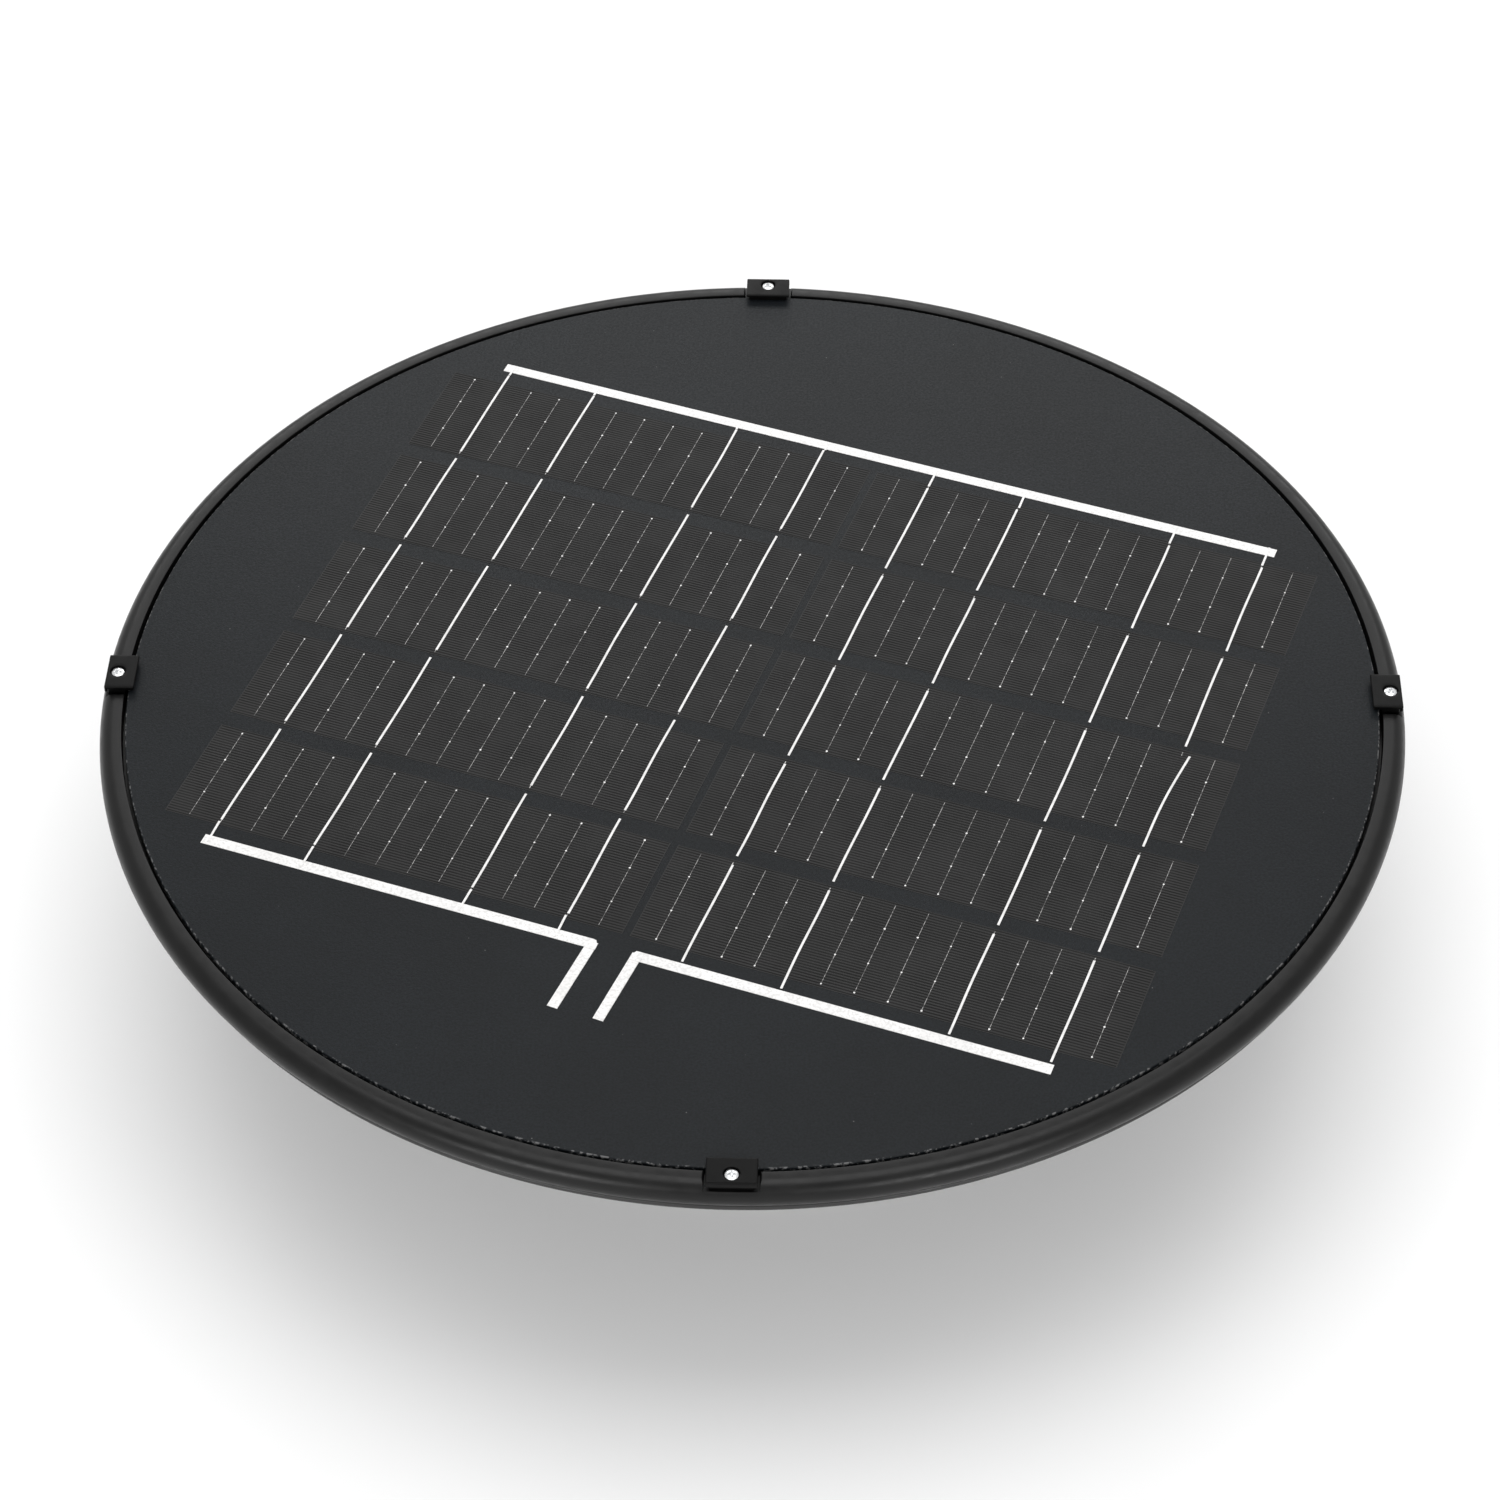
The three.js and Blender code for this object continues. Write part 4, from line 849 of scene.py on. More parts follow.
# %% [markdown]
# ## The rim
# The rim is a moulded bead. Its section has a narrow flat shelf beside the groove, a round
# shoulder and a round underside, and a foot that stands on the pan's edge. Four notches cut into
# the shoulder for the clips. The section is carried round the axis, and in a notch every point
# above the notch's floor is pressed down to it. At a notch's wall two sections stand at the same
# angle, one full and one pressed down, and the full one's top edge is rounded over the last
# millimetre.

# %% Carry the rim's section round the axis
GROOVE = 1.6 * MM
SHELF = 3.4 * MM
BEAD = 6.6 * MM
LEDGE_DEPTH = 6 * MM
NOTCH_DEPTH = 2.5 * MM
NOTCH_HALF = 11.05 * MM
NOTCH_ROUND = 1.0 * MM
rim_inner = board_radius + GROOVE
rim_bottom = rim_top - 2 * BEAD
rim_foot = low("rim_ring").z
FOOT_INNER = 272.5 * MM
FOOT_WIDTH = 3.4 * MM


def rim_section():
    arc = np.radians(np.linspace(90, -90, 37))
    bead = np.stack([rim_inner + SHELF + BEAD * np.cos(arc), rim_top - BEAD + BEAD * np.sin(arc)], 1)
    foot = rounded([
        (FOOT_INNER + FOOT_WIDTH, rim_bottom), (FOOT_INNER + FOOT_WIDTH, rim_foot), (FOOT_INNER, rim_foot),
        (FOOT_INNER, board_top - LEDGE_DEPTH), (rim_inner, board_top - LEDGE_DEPTH),
        (rim_inner, rim_top)], (0, 0.4 * MM, 0.4 * MM, 0.4 * MM, 0.2 * MM, 0.35 * MM), 4)
    walls = np.linspace(board_top - LEDGE_DEPTH + 0.5 * MM, rim_top - 0.5 * MM, 7)
    inner = np.stack([np.full(7, rim_inner), walls], 1)
    shelf = rounded([(rim_inner, rim_top - 1 * MM), (rim_inner, rim_top), (rim_inner + 1 * MM, rim_top)],
                    0.35 * MM, 4, closed=False)[1:-1]
    return np.concatenate([bead, foot[:-6], inner, shelf])


def notch_limits():
    """Angles round the axis, each with the greatest height that the section may have there."""
    plain = np.linspace(0, 2 * np.pi, 721)[:-1]
    reach = NOTCH_HALF / (rim_inner + SHELF)
    span = NOTCH_ROUND / (rim_inner + SHELF)
    off = (plain + np.pi / 4) % (np.pi / 2) - np.pi / 4
    plain = plain[np.abs(off) > reach + span]
    angles, limits = [plain], [np.full(len(plain), rim_top)]
    fillet = np.linspace(0, 1, 7)
    over = rim_top - NOTCH_ROUND * (1 - np.sqrt(np.maximum(0, 1 - (1 - fillet) ** 2)))
    for quarter in range(4):
        for way in (-1, 1):
            edge = quarter * np.pi / 2 + way * reach
            angles.append(edge + way * span * fillet + way * 1e-7)
            limits.append(over)
        inside = quarter * np.pi / 2 + np.linspace(-reach, reach, 9)
        angles.append(inside)
        limits.append(np.full(9, rim_top - NOTCH_DEPTH))
    angles, limits = np.concatenate(angles) % (2 * np.pi), np.concatenate(limits)
    order = np.argsort(angles, kind="stable")
    return angles[order], limits[order]


section = rim_section()
angles, limits = notch_limits()
height = np.minimum(section[:, 1][:, None], limits[None])
radius = np.broadcast_to(section[:, 0][:, None], height.shape)
rim_points = np.stack([radius * np.cos(angles), radius * np.sin(angles), height], axis=-1)
rim_faces = grid_faces(len(section), len(angles), True, True)
stands_for(piece("rim", rim_points, rim_faces, moulding, sharp=28), "black_moulding", "rim_ring")
print("rim faces:", len(rim_faces))

# %% [markdown]
# ## Clips
# A clip has a flat plate with a turned-down outer edge, on a smaller body that stands in the notch
# and laps over the panel's edge. The gap under the plate stays dark. The plate and the body are
# made of closed rings round the screw's axis: circles in the screw's recess, which change into a
# rounded rectangle on the top face, go over the edge and down the sides. The change is a straight
# mix of the two outlines, point by point.

# %% Make a clip
CLIP_HALF = 10.25 * MM
CLIP_INNER = board_radius - 2.9 * MM
CLIP_OUTER = rim_inner + 8.5 * MM
SCREW_RADIUS = rim_inner + 3.7 * MM
RECESS_RADIUS = 3.45 * MM
RECESS_DEPTH = 2 * MM
PLATE = 1.3 * MM
SKIRT = 3.2 * MM
SKIRT_WALL = 1.2 * MM
UNDERCUT = 1.2 * MM
CLIP_CORNER = 0.5 * MM
RIM_LIP = 0.3 * MM
EASE = 0.08 * MM
PLAY = 0.1 * MM
SHANK_HOLE = 1.7 * MM
notch_floor = rim_top - NOTCH_DEPTH


def rectangle_outline(x0, x1, half_y, corner, inset, count=40):
    """A rounded rectangle shrunk by inset, as four corner arcs joined by straight runs, with the
    same number of points whatever the inset."""
    out = []
    size = max(corner - inset, 0.05 * MM)
    centres = ((x1, half_y, 0), (x0, half_y, 90), (x0, -half_y, 180), (x1, -half_y, 270))
    for x, y, start in centres:
        cx = x - math.copysign(corner, x) if corner > inset else x - math.copysign(inset + size, x)
        cy = y - math.copysign(corner, y) if corner > inset else y - math.copysign(inset + size, y)
        a = np.radians(start + np.linspace(0, 90, 9))
        out.append(np.stack([cx + size * np.cos(a), cy + size * np.sin(a)], 1))
    ring = np.concatenate(out + [out[0][:1]])
    spread = []
    for k in range(4):
        arc, following = ring[9 * k:9 * k + 9], ring[9 * k + 9]
        t = np.linspace(0, 1, count // 4 + 2)[1:-1, None]
        spread += [arc, arc[-1] + (following - arc[-1]) * t]
    return np.concatenate(spread)


def ring(flat, height):
    height = np.broadcast_to(height, (len(flat),))
    return np.concatenate([flat, height[:, None]], axis=1)


def ring_shell(rings, ends_meet=True):
    return np.stack(rings).reshape(-1, 3), grid_faces(len(rings), len(rings[0]), ends_meet, True)


def plate_shell(x0, x1):
    """The plate: up the recess, over the top face, round its edge and back under it."""
    edge, foot = 0.7 * MM, 0.15 * MM
    bottom = clip_top - PLATE

    def outline(inset):
        return rectangle_outline(x0, x1, CLIP_HALF, CLIP_CORNER, inset)

    full = outline(0)
    direction = full / np.linalg.norm(full, axis=1)[:, None]
    inner, outer = direction * (RECESS_RADIUS + RIM_LIP), outline(edge)
    rings = [ring(direction * RECESS_RADIUS, bottom), ring(direction * RECESS_RADIUS, clip_top - RIM_LIP),
             ring(direction * (RECESS_RADIUS + EASE), clip_top - EASE), ring(inner, clip_top)]
    rings += [ring(inner + (outer - inner) * t, clip_top) for t in (0.2, 0.4, 0.6, 0.8, 1.0)]
    for a in np.radians(np.linspace(15, 90, 6)):
        rings.append(ring(outline(edge * (1 - math.sin(a))), clip_top - edge * (1 - math.cos(a))))
    rings += [ring(full, bottom + foot), ring(outline(foot), bottom)]
    return ring_shell(rings)


def skirt_shell(x1):
    """The turned-down outer edge of the plate."""
    bottom, top, soft = clip_top - SKIRT, clip_top - PLATE + 0.3 * MM, 0.2 * MM
    middle = np.array([x1 - SKIRT_WALL / 2, 0.0])

    def outline(inset):
        return middle + rectangle_outline(-SKIRT_WALL / 2, SKIRT_WALL / 2, CLIP_HALF, CLIP_CORNER, inset)

    spot = middle + 0 * outline(0)
    rings = [ring(spot, bottom), ring(outline(soft), bottom), ring(outline(0), bottom + soft),
             ring(outline(0), top), ring(spot, top)]
    return ring_shell(rings, ends_meet=False)


def body_shell(x0, x1):
    """The body: up the screw's hole, out over the recess floor, up, across, down and back under,
    with a step where it laps over the panel."""
    step = rim_inner + PLAY - SCREW_RADIUS
    floor, foot = clip_top - RECESS_DEPTH, 0.25 * MM
    top = clip_top - PLATE + 0.05 * MM

    def outline(inset):
        return rectangle_outline(x0 + UNDERCUT / 2, x1 - UNDERCUT, CLIP_HALF - UNDERCUT, CLIP_CORNER, inset)

    def underside(flat):
        on_panel = 1 / (1 + np.exp((flat[:, 0] - step) / (0.06 * MM)))
        return notch_floor + PLAY + on_panel * (board_top - notch_floor)

    full, shrunk = outline(0), outline(foot)
    direction = full / np.linalg.norm(full, axis=1)[:, None]
    rings = [ring(direction * SHANK_HOLE, notch_floor + PLAY), ring(direction * SHANK_HOLE, floor),
             ring(direction * (RECESS_RADIUS - RIM_LIP), floor),
             ring(direction * (RECESS_RADIUS - EASE), floor + 0.1 * MM),
             ring(direction * RECESS_RADIUS, floor + RIM_LIP), ring(direction * RECESS_RADIUS, top),
             ring(full, top), ring(full, underside(full) + foot), ring(shrunk, underside(shrunk))]
    rings += [ring(shrunk * t, underside(shrunk * t)) for t in (0.85, 0.7, 0.55)]
    return ring_shell(rings)


def clip_shells():
    """A clip in axes with the screw at the origin and x pointing outwards."""
    x0, x1 = CLIP_INNER - SCREW_RADIUS, CLIP_OUTER - SCREW_RADIUS
    return [plate_shell(x0, x1), skirt_shell(x1), body_shell(x0, x1)]


parts_of_clip = clip_shells()
for k in range(4):
    turn = k * math.pi / 2
    placed = [(moved(points, x=SCREW_RADIUS, turn=turn), faces) for points, faces in parts_of_clip]
    stands_for(several(f"clip_{k + 1}", placed, clip_plastic), "black_plastic", f"panel_clip_{k + 1}")
print("clip faces:", sum(len(faces) for _, faces in parts_of_clip))

# %% [markdown]
# ## Screws
# A pan head is a low dome with a cross pressed into it. The dome's height falls with the square of
# the distance from the axis, and the cross takes a depth away where the point lies inside either
# arm. A hexagon head is a prism on a round collar: its radius at an angle a is the half width
# over the flats divided by the cosine of the angle to the nearest flat.

# %% Make the screws


def soft_step(value, edge, width):
    """1 below the edge, 0 above it, with a soft change as wide as width."""
    t = np.clip((edge + width / 2 - value) / width, 0, 1)
    return t * t * (3 - 2 * t)


def thread_section(radius, seat, length, pitch=0.8 * MM):
    """Half section of a shank from its tip to its seat, with a zigzag thread."""
    count = max(3, int((length - 2 * radius) / pitch))
    z = seat - length + 1.2 * radius + np.arange(2 * count + 1) * (length - 1.4 * radius) / (2 * count + 1)
    r = np.where(np.arange(2 * count + 1) % 2 == 0, radius * 0.82, radius)
    tip = [(0, seat - length), (radius * 0.45, seat - length + 0.1 * radius)]
    return np.concatenate([tip, np.stack([r, z], 1), [(radius * 0.9, seat)]])


def pan_screw_shell(head_radius, head_height, shank_radius, length, seat):
    shank = thread_section(shank_radius, seat, length)
    side = np.array([(head_radius - 0.1 * MM, seat), (head_radius, seat + 0.12 * MM)])
    rings = np.sqrt(np.linspace(1, 0, 26))
    count = 64
    angle = np.linspace(0, 2 * np.pi, count, endpoint=False)
    radius = np.concatenate([shank[:, 0], side[:, 0], head_radius * rings])[:, None]
    dome = seat + head_height * (0.62 + 0.38 * (1 - rings ** 2))
    height = np.concatenate([shank[:, 1], side[:, 1], dome])[:, None] + 0 * angle
    x, y = radius * np.cos(angle), radius * np.sin(angle)
    arm, reach, soft = 0.15 * head_radius, 0.55 * head_radius, 0.10 * head_radius
    cross = np.maximum(soft_step(np.abs(x), arm, soft) * soft_step(np.abs(y), reach, 2 * soft),
                       soft_step(np.abs(y), arm, soft) * soft_step(np.abs(x), reach, 2 * soft))
    on_head = np.zeros(len(radius), dtype=bool)
    on_head[-len(rings):] = True
    depth = 0.85 * head_height * (1 - 0.4 * np.hypot(x, y) / reach)
    height = height - np.where(on_head[:, None], cross * np.maximum(depth, 0), 0)
    points = np.stack([x, y, height], axis=-1)
    return points.reshape(-1, 3), grid_faces(len(radius), count, False, True)


def hex_screw_shell(head_radius, head_height, shank_radius, length, seat):
    shank = thread_section(shank_radius, seat, length)
    count = 72
    angle = np.linspace(0, 2 * np.pi, count, endpoint=False)
    flat = (angle + math.pi / 6) % (math.pi / 3) - math.pi / 6
    hexagon = 0.70 * head_radius / np.cos(flat)
    collar = 0.28 * head_height
    cap = seat + head_height
    rows = [(r + 0 * angle, z + 0 * angle) for r, z in shank]
    for share, lift in ((0.97, 0.0), (1.0, 0.3), (0.93, 1.0)):
        r, z = head_radius * share, seat + lift * collar
        rows.append((r + 0 * angle, z + 0 * angle))
    rows.append((hexagon, seat + collar * 1.15 + 0 * angle))
    rows.append((hexagon, cap - 0.12 * head_height - 0.9 * (hexagon - hexagon.min())))
    rows.append((np.minimum(hexagon, 0.69 * head_radius), cap + 0 * angle))
    rows.append((0.45 * head_radius + 0 * angle, cap - 0.1 * head_height + 0 * angle))
    rows.append((0 * angle, cap - 0.12 * head_height + 0 * angle))
    radius = np.stack([row[0] for row in rows])
    height = np.stack([row[1] for row in rows])
    points = np.stack([radius * np.cos(angle), radius * np.sin(angle), height], axis=-1)
    return points.reshape(-1, 3), grid_faces(len(rows), count, False, True)


def place_screws(kind, shell, finish, slot, distance, first_turn, upside_down=False, seat=0.0):
    """Four copies of a screw round the axis, standing for the solids kind_1 to kind_4."""
    points, faces = shell
    if upside_down:
        points = points * (1, -1, -1) + (0, 0, 2 * seat)
    for k in range(4):
        turn = first_turn + k * math.pi / 2
        jitter = moved(points, turn=random.uniform(0, 1.5))
        made = piece(f"{kind}_fine_{k + 1}", moved(jitter, x=distance, turn=turn), faces, finish)
        stands_for(made, slot, f"{kind}_{k + 1}")


clip_seat = clip_top - RECESS_DEPTH + PLAY
clip_screw = pan_screw_shell(2.75 * MM, 1.75 * MM, 1.5 * MM, 11 * MM, clip_seat)
place_screws("clip_screw", clip_screw, zinc, "zinc_plated_steel", SCREW_RADIUS, 0.0)
print("clip screw faces:", len(clip_screw[1]))

# %% [markdown]
# ## The hood's pan
# The pan is one spun sheet: a floor, a cone up to the seat of the gasket, a wall down, and a
# hemmed edge that stands out under the rim. Spinning leaves every bend round, and the hem is a
# folded edge as thick as two sheets.

# %% Turn the pan
SHEET = 1.5 * MM
PAN_FLOOR = 226 * MM
SEAT_INNER = 256 * MM
SEAT_OUTER = 272 * MM
LIP_THICKNESS = 2.8 * MM
LIP_GAP = 0.7 * MM
pan_top = high("hood_pan").z
lip_radius = high("hood_pan").x
lip_top = rim_bottom - LIP_GAP
lip_bottom = lip_top - LIP_THICKNESS
stands_for(lathe("pan", [
    (0, pan_bottom + SHEET), (PAN_FLOOR, pan_bottom + SHEET), (SEAT_INNER, pan_top), (SEAT_OUTER, pan_top),
    (SEAT_OUTER, lip_top), (lip_radius, lip_top), (lip_radius, lip_bottom), (SEAT_OUTER - SHEET, lip_bottom),
    (SEAT_OUTER - SHEET, pan_top - SHEET), (SEAT_INNER + SHEET / 2, pan_top - SHEET),
    (PAN_FLOOR + SHEET / 2, pan_bottom), (0, pan_bottom),
], np.array([0, 4, 5.5, 2, 0.5, 1.3, 1.3, 0.8, 0.6, 4, 5.5, 0]) * MM, powder, segments=360, closed=False),
    "black_powder_coat", "hood_pan")

# %% [markdown]
# ## Hood brackets
# Four channel-shaped brackets carry the hood. Each is a strip of sheet with two bends, so it is
# drawn as a flat section carried along its bent middle line. The normal of the line at each point
# tells where the strip's two faces are.

# %% Bend the brackets
BRACKET_WIDTH = 30 * MM
BRACKET_WEB = 184.2 * MM
BRACKET_OUTER = 205.2 * MM
BEND = 3.0 * MM
BRACKET_SCREW = 195.45 * MM
EIGHTH = math.pi / 4
bracket_low, bracket_high = low("hood_bracket_1").z, high("hood_bracket_1").z


def bent_strip(path, width, thickness, edge=0.3 * MM):
    """A strip of sheet along a path of (x, z) points: at each point a rounded rectangle, as wide as
    width along Y and as thick as thickness along the path's normal."""
    path = np.asarray(path, dtype=float)
    steps = np.diff(path, axis=0)
    steps /= np.linalg.norm(steps, axis=1)[:, None]
    ahead = np.concatenate([steps[:1], steps[:-1] + steps[1:], steps[-1:]])
    ahead /= np.linalg.norm(ahead, axis=1)[:, None]
    out = np.stack([-ahead[:, 1], ahead[:, 0]], 1)
    half_w, half_t = width / 2, thickness / 2
    ring = rounded([(-half_w, -half_t), (half_w, -half_t), (half_w, half_t), (-half_w, half_t)], edge, 2)
    points = np.empty((len(path), len(ring), 3))
    points[..., 0] = path[:, :1] + out[:, :1] * ring[:, 1]
    points[..., 1] = ring[:, 0]
    points[..., 2] = path[:, 1:] + out[:, 1:] * ring[:, 1]
    caps = points[[0, -1]].mean(axis=1, keepdims=True) + 0 * points[[0, -1]]
    points = np.concatenate([caps[:1], points, caps[1:]])
    return points.reshape(-1, 3), grid_faces(len(points), len(ring), False, True)


middle = SHEET / 2
bracket_path = rounded([
    (BRACKET_OUTER, bracket_low + middle), (BRACKET_WEB + middle, bracket_low + middle),
    (BRACKET_WEB + middle, bracket_high - middle), (BRACKET_OUTER, bracket_high - middle)],
    BEND, 8, closed=False)
bracket_points, bracket_faces = bent_strip(bracket_path, BRACKET_WIDTH, SHEET)
for k in range(4):
    placed = moved(bracket_points, turn=EIGHTH + k * math.pi / 2)
    made = piece(f"bracket_{k + 1}", placed, bracket_faces, mill)
    stands_for(made, "mill_aluminium", f"hood_bracket_{k + 1}")

foot_seat = bracket_low + SHEET + 0.1 * MM
head_seat = bracket_high - SHEET - 0.1 * MM
foot_screw = hex_screw_shell(4 * MM, 2.4 * MM, 2.1 * MM, foot_seat - flange_bottom - 0.1 * MM, foot_seat)
place_screws("foot_screw", foot_screw, zinc, "zinc_plated_steel", BRACKET_SCREW, EIGHTH)
head_length = high("head_screw_1").z - head_seat
head_screw = hex_screw_shell(4 * MM, 2.4 * MM, 2.1 * MM, head_length, head_seat)
place_screws("head_screw", head_screw, zinc, "zinc_plated_steel", BRACKET_SCREW, EIGHTH, True, head_seat)
print("brackets: 4, with", 8, "screws")

# %% [markdown]
# ## The mounting flange
# The flange is a ring with eight holes. It is cut in eight sectors, and each sector is a set of
# rings that start as its hole and end as its outline, so that no hole has to be cut by a solid.
# Neighbouring sectors share their border points, and joining those closes the ring.

# %% Make the flange
FLANGE_INNER = 157.6 * MM
HOLE_CIRCLE = 200 * MM
HOLE_RADIUS = 2.6 * MM
HOLES = 8
SIDE_POINTS = 12
ARC_POINTS = 24


def sector_outline(inner, outer):
    """The outline of one sector whose middle lies on the X axis, run round from its outer arc."""
    half = math.pi / HOLES
    swing = np.linspace(-half, half, ARC_POINTS + 1)
    inward = np.linspace(outer, inner, SIDE_POINTS + 1)[1:-1]
    along_outer, along_inner = np.full(ARC_POINTS + 1, outer), np.full(ARC_POINTS + 1, inner)
    radius = np.concatenate([along_outer, inward, along_inner, inward[::-1]])
    side = np.full(SIDE_POINTS - 1, half)
    angle = np.concatenate([swing, side, -swing, -side])
    return np.stack([radius * np.cos(angle), radius * np.sin(angle)], 1)


def flange_sector():
    edge = 0.35 * MM
    face = sector_outline(FLANGE_INNER + edge, flange_radius - edge)
    rim_line = sector_outline(FLANGE_INNER, flange_radius)
    centre = np.array([HOLE_CIRCLE, 0])
    ray = face - centre
    ray /= np.linalg.norm(ray, axis=1)[:, None]
    share = np.array([0, 0.02, 0.08, 0.25, 0.55, 1.0])
    hole = centre + ray * HOLE_RADIUS
    eased = centre + ray * (HOLE_RADIUS + 0.25 * MM)
    top = [np.c_[eased + (face - eased) * t, np.full(len(face), flange_top)] for t in share]
    bottom = [np.c_[eased + (face - eased) * t, np.full(len(face), flange_bottom)] for t in share[::-1]]
    step = 0.25 * MM
    rows = [np.c_[hole, np.full(len(face), height)] for height in (flange_bottom + step, flange_top - step)]
    rows += top + [np.c_[rim_line, np.full(len(face), flange_top - edge)]]
    rows += [np.c_[rim_line, np.full(len(face), flange_bottom + edge)]] + bottom
    return np.stack(rows), grid_faces(len(rows), len(face), True, True)


def inside_border(points, faces):
    """Faces that lie on a sector's straight sides, which its neighbour shares, are left out."""
    flat = points.reshape(-1, 3)
    angle = np.abs(np.arctan2(flat[:, 1], flat[:, 0]))
    on_side = np.isclose(angle, math.pi / HOLES, atol=1e-6) & (np.hypot(flat[:, 0], flat[:, 1]) > 0)
    return faces[~on_side[faces].all(axis=1)]


sector_points, sector_faces = flange_sector()
sector_faces = inside_border(sector_points, sector_faces)
first_hole = 2 * math.pi * 0.25 / HOLES
flange_parts = [moved(sector_points, turn=first_hole + 2 * math.pi * k / HOLES) for k in range(HOLES)]
flange_faces = np.concatenate([sector_faces + k * len(flange_parts[0]) for k in range(HOLES)])
flange = piece("flange", np.concatenate(flange_parts), flange_faces, powder)
stands_for(flange, "black_powder_coat", "base_flange")
print("flange faces:", len(flange_faces))

# %% [markdown]
# ## The duct
# The duct is a rolled sheet. Its lower edge carries a swaged bead that stiffens it, its top is
# turned out into a flat lip, and a lock seam runs up the back where the sheet's ends meet. The
# seam is a low step: the outer radius grows by its height wherever the angle is within its width.

# %% Roll the duct
DUCT_BORE = 156 * MM
DUCT_OUTER = DUCT_BORE + SHEET
SEAM_HEIGHT = 0.9 * MM
SEAM_HALF = 4.5 * MM
SEAM_ANGLE = math.radians(112)
SWAGE = 1.6 * MM
duct_lip = high("duct").x


def swage_offset(z, middle_z, half, depth):
    """A rounded bead: depth times the squared cosine of the distance from its middle."""
    t = np.clip((z - middle_z) / half, -1, 1)
    return depth * np.cos(t * np.pi / 2) ** 2


rise = np.concatenate([np.linspace(0.4 * MM, 8 * MM, 3), np.linspace(9 * MM, 21 * MM, 15),
                       np.linspace(24 * MM, 47 * MM, 4)])
outer_wall = np.stack([DUCT_OUTER + swage_offset(rise, 15 * MM, 5 * MM, SWAGE), rise], 1)
inner_wall = np.stack([DUCT_BORE + swage_offset(rise, 15 * MM, 5 * MM, SWAGE), rise], 1)[::-1]
duct_head = rounded([
    (DUCT_OUTER, 48 * MM), (DUCT_OUTER, duct_top - SHEET), (duct_lip, duct_top - SHEET), (duct_lip, duct_top),
    (DUCT_BORE, duct_top), (DUCT_BORE, 48 * MM)], np.array([0, 1.2, 0.5, 0.5, 2.7, 0]) * MM, 5, closed=False)
duct_foot = np.array([(DUCT_BORE, 0.3 * MM), (DUCT_BORE + 0.3 * MM, 0),
                      (DUCT_OUTER - 0.3 * MM, 0), (DUCT_OUTER, 0.3 * MM)])
duct_section = np.concatenate([outer_wall, duct_head, inner_wall, duct_foot])
duct_points, duct_faces = turned_grid(duct_section, 360, True)
around = np.arctan2(duct_points[:, 1], duct_points[:, 0])
beside = np.abs((around - SEAM_ANGLE + np.pi) % (2 * np.pi) - np.pi) * DUCT_OUTER
on_wall = np.repeat((duct_section[:, 0] >= DUCT_OUTER - 1e-9) & (duct_section[:, 1] < flange_bottom), 360)
step = SEAM_HEIGHT * soft_step(beside, SEAM_HALF, 3 * MM) * on_wall
duct_points[:, :2] *= (1 + step / np.hypot(duct_points[:, 0], duct_points[:, 1]))[:, None]
stands_for(piece("duct_wall", duct_points, duct_faces, mill), "mill_aluminium", "duct")
print("duct faces:", len(duct_faces))

# %% [markdown]
# ## The insect screen
# A perforated band closes the exhaust gap against insects. The band has more than two thousand
# round holes, so each of its square fields has only eight corners round its hole: a ring of faces
# outside, one inside and one through the hole. Neighbouring fields share their corners.

# %% Punch the screen
SCREEN_INNER = 180 * MM
SCREEN_SHEET = 1.0 * MM
HOLE_ROWS = 10
HOLE_COLUMNS = 220
PUNCH = 1.75 * MM
PLAIN_BAND = 3.0 * MM
screen_low, screen_high = low("insect_screen").z, high("insect_screen").z


def screen_fields():
    """Corners of all fields, on a flat band: eight on the outline of each field and eight on its
    hole, on both faces of the sheet."""
    height = (screen_high - screen_low - 2 * PLAIN_BAND) / HOLE_ROWS
    width = 2 * math.pi * (SCREEN_INNER + SCREEN_SHEET / 2) / HOLE_COLUMNS
    angle = np.arange(8) * math.pi / 4
    way = np.stack([np.cos(angle), np.sin(angle)], 1)
    square = np.sign(np.round(way, 6)) * (width, height) / 2
    hole = way * PUNCH
    ring = np.concatenate([square, hole])
    column, row = np.meshgrid(np.arange(HOLE_COLUMNS), np.arange(HOLE_ROWS), indexing="ij")
    centre = np.stack([column * width, screen_low + PLAIN_BAND + (row + 0.5) * height], -1).reshape(-1, 1, 2)
    return (centre + ring).reshape(-1, 16, 2), width


fields, field_width = screen_fields()
turn = fields[..., 0] / (field_width * HOLE_COLUMNS) * 2 * math.pi
layers = [np.stack([r * np.cos(turn), r * np.sin(turn), fields[..., 1]], -1)
          for r in (SCREEN_INNER, SCREEN_INNER + SCREEN_SHEET)]
screen_points = np.stack(layers, axis=1).reshape(-1, 3)
i = np.arange(8)
j = (i + 1) % 8
field_faces = np.concatenate([
    np.stack([i, i + 8, j + 8, j], 1), np.stack([i + 16, j + 16, j + 24, i + 24], 1),
    np.stack([i + 8, i + 24, j + 24, j + 8], 1)])
screen_faces = (field_faces[None] + 32 * np.arange(len(fields))[:, None, None]).reshape(-1, 4)
bands = []
for z0, z1 in ((screen_low, screen_low + PLAIN_BAND), (screen_high - PLAIN_BAND, screen_high)):
    start = z1 if z0 == screen_low else z0
    end = z0 if z0 == screen_low else z1
    open_section = np.array([(SCREEN_INNER, start), (SCREEN_INNER, end), (SCREEN_INNER + SCREEN_SHEET, end),
                             (SCREEN_INNER + SCREEN_SHEET, start)])
    band_points, band_faces = turned_grid(open_section, 2 * HOLE_COLUMNS, False)
    if end < start:
        band_faces = band_faces[:, ::-1]
    bands.append((band_points, band_faces))
start = len(screen_points)
all_points, all_faces = [screen_points], [screen_faces]
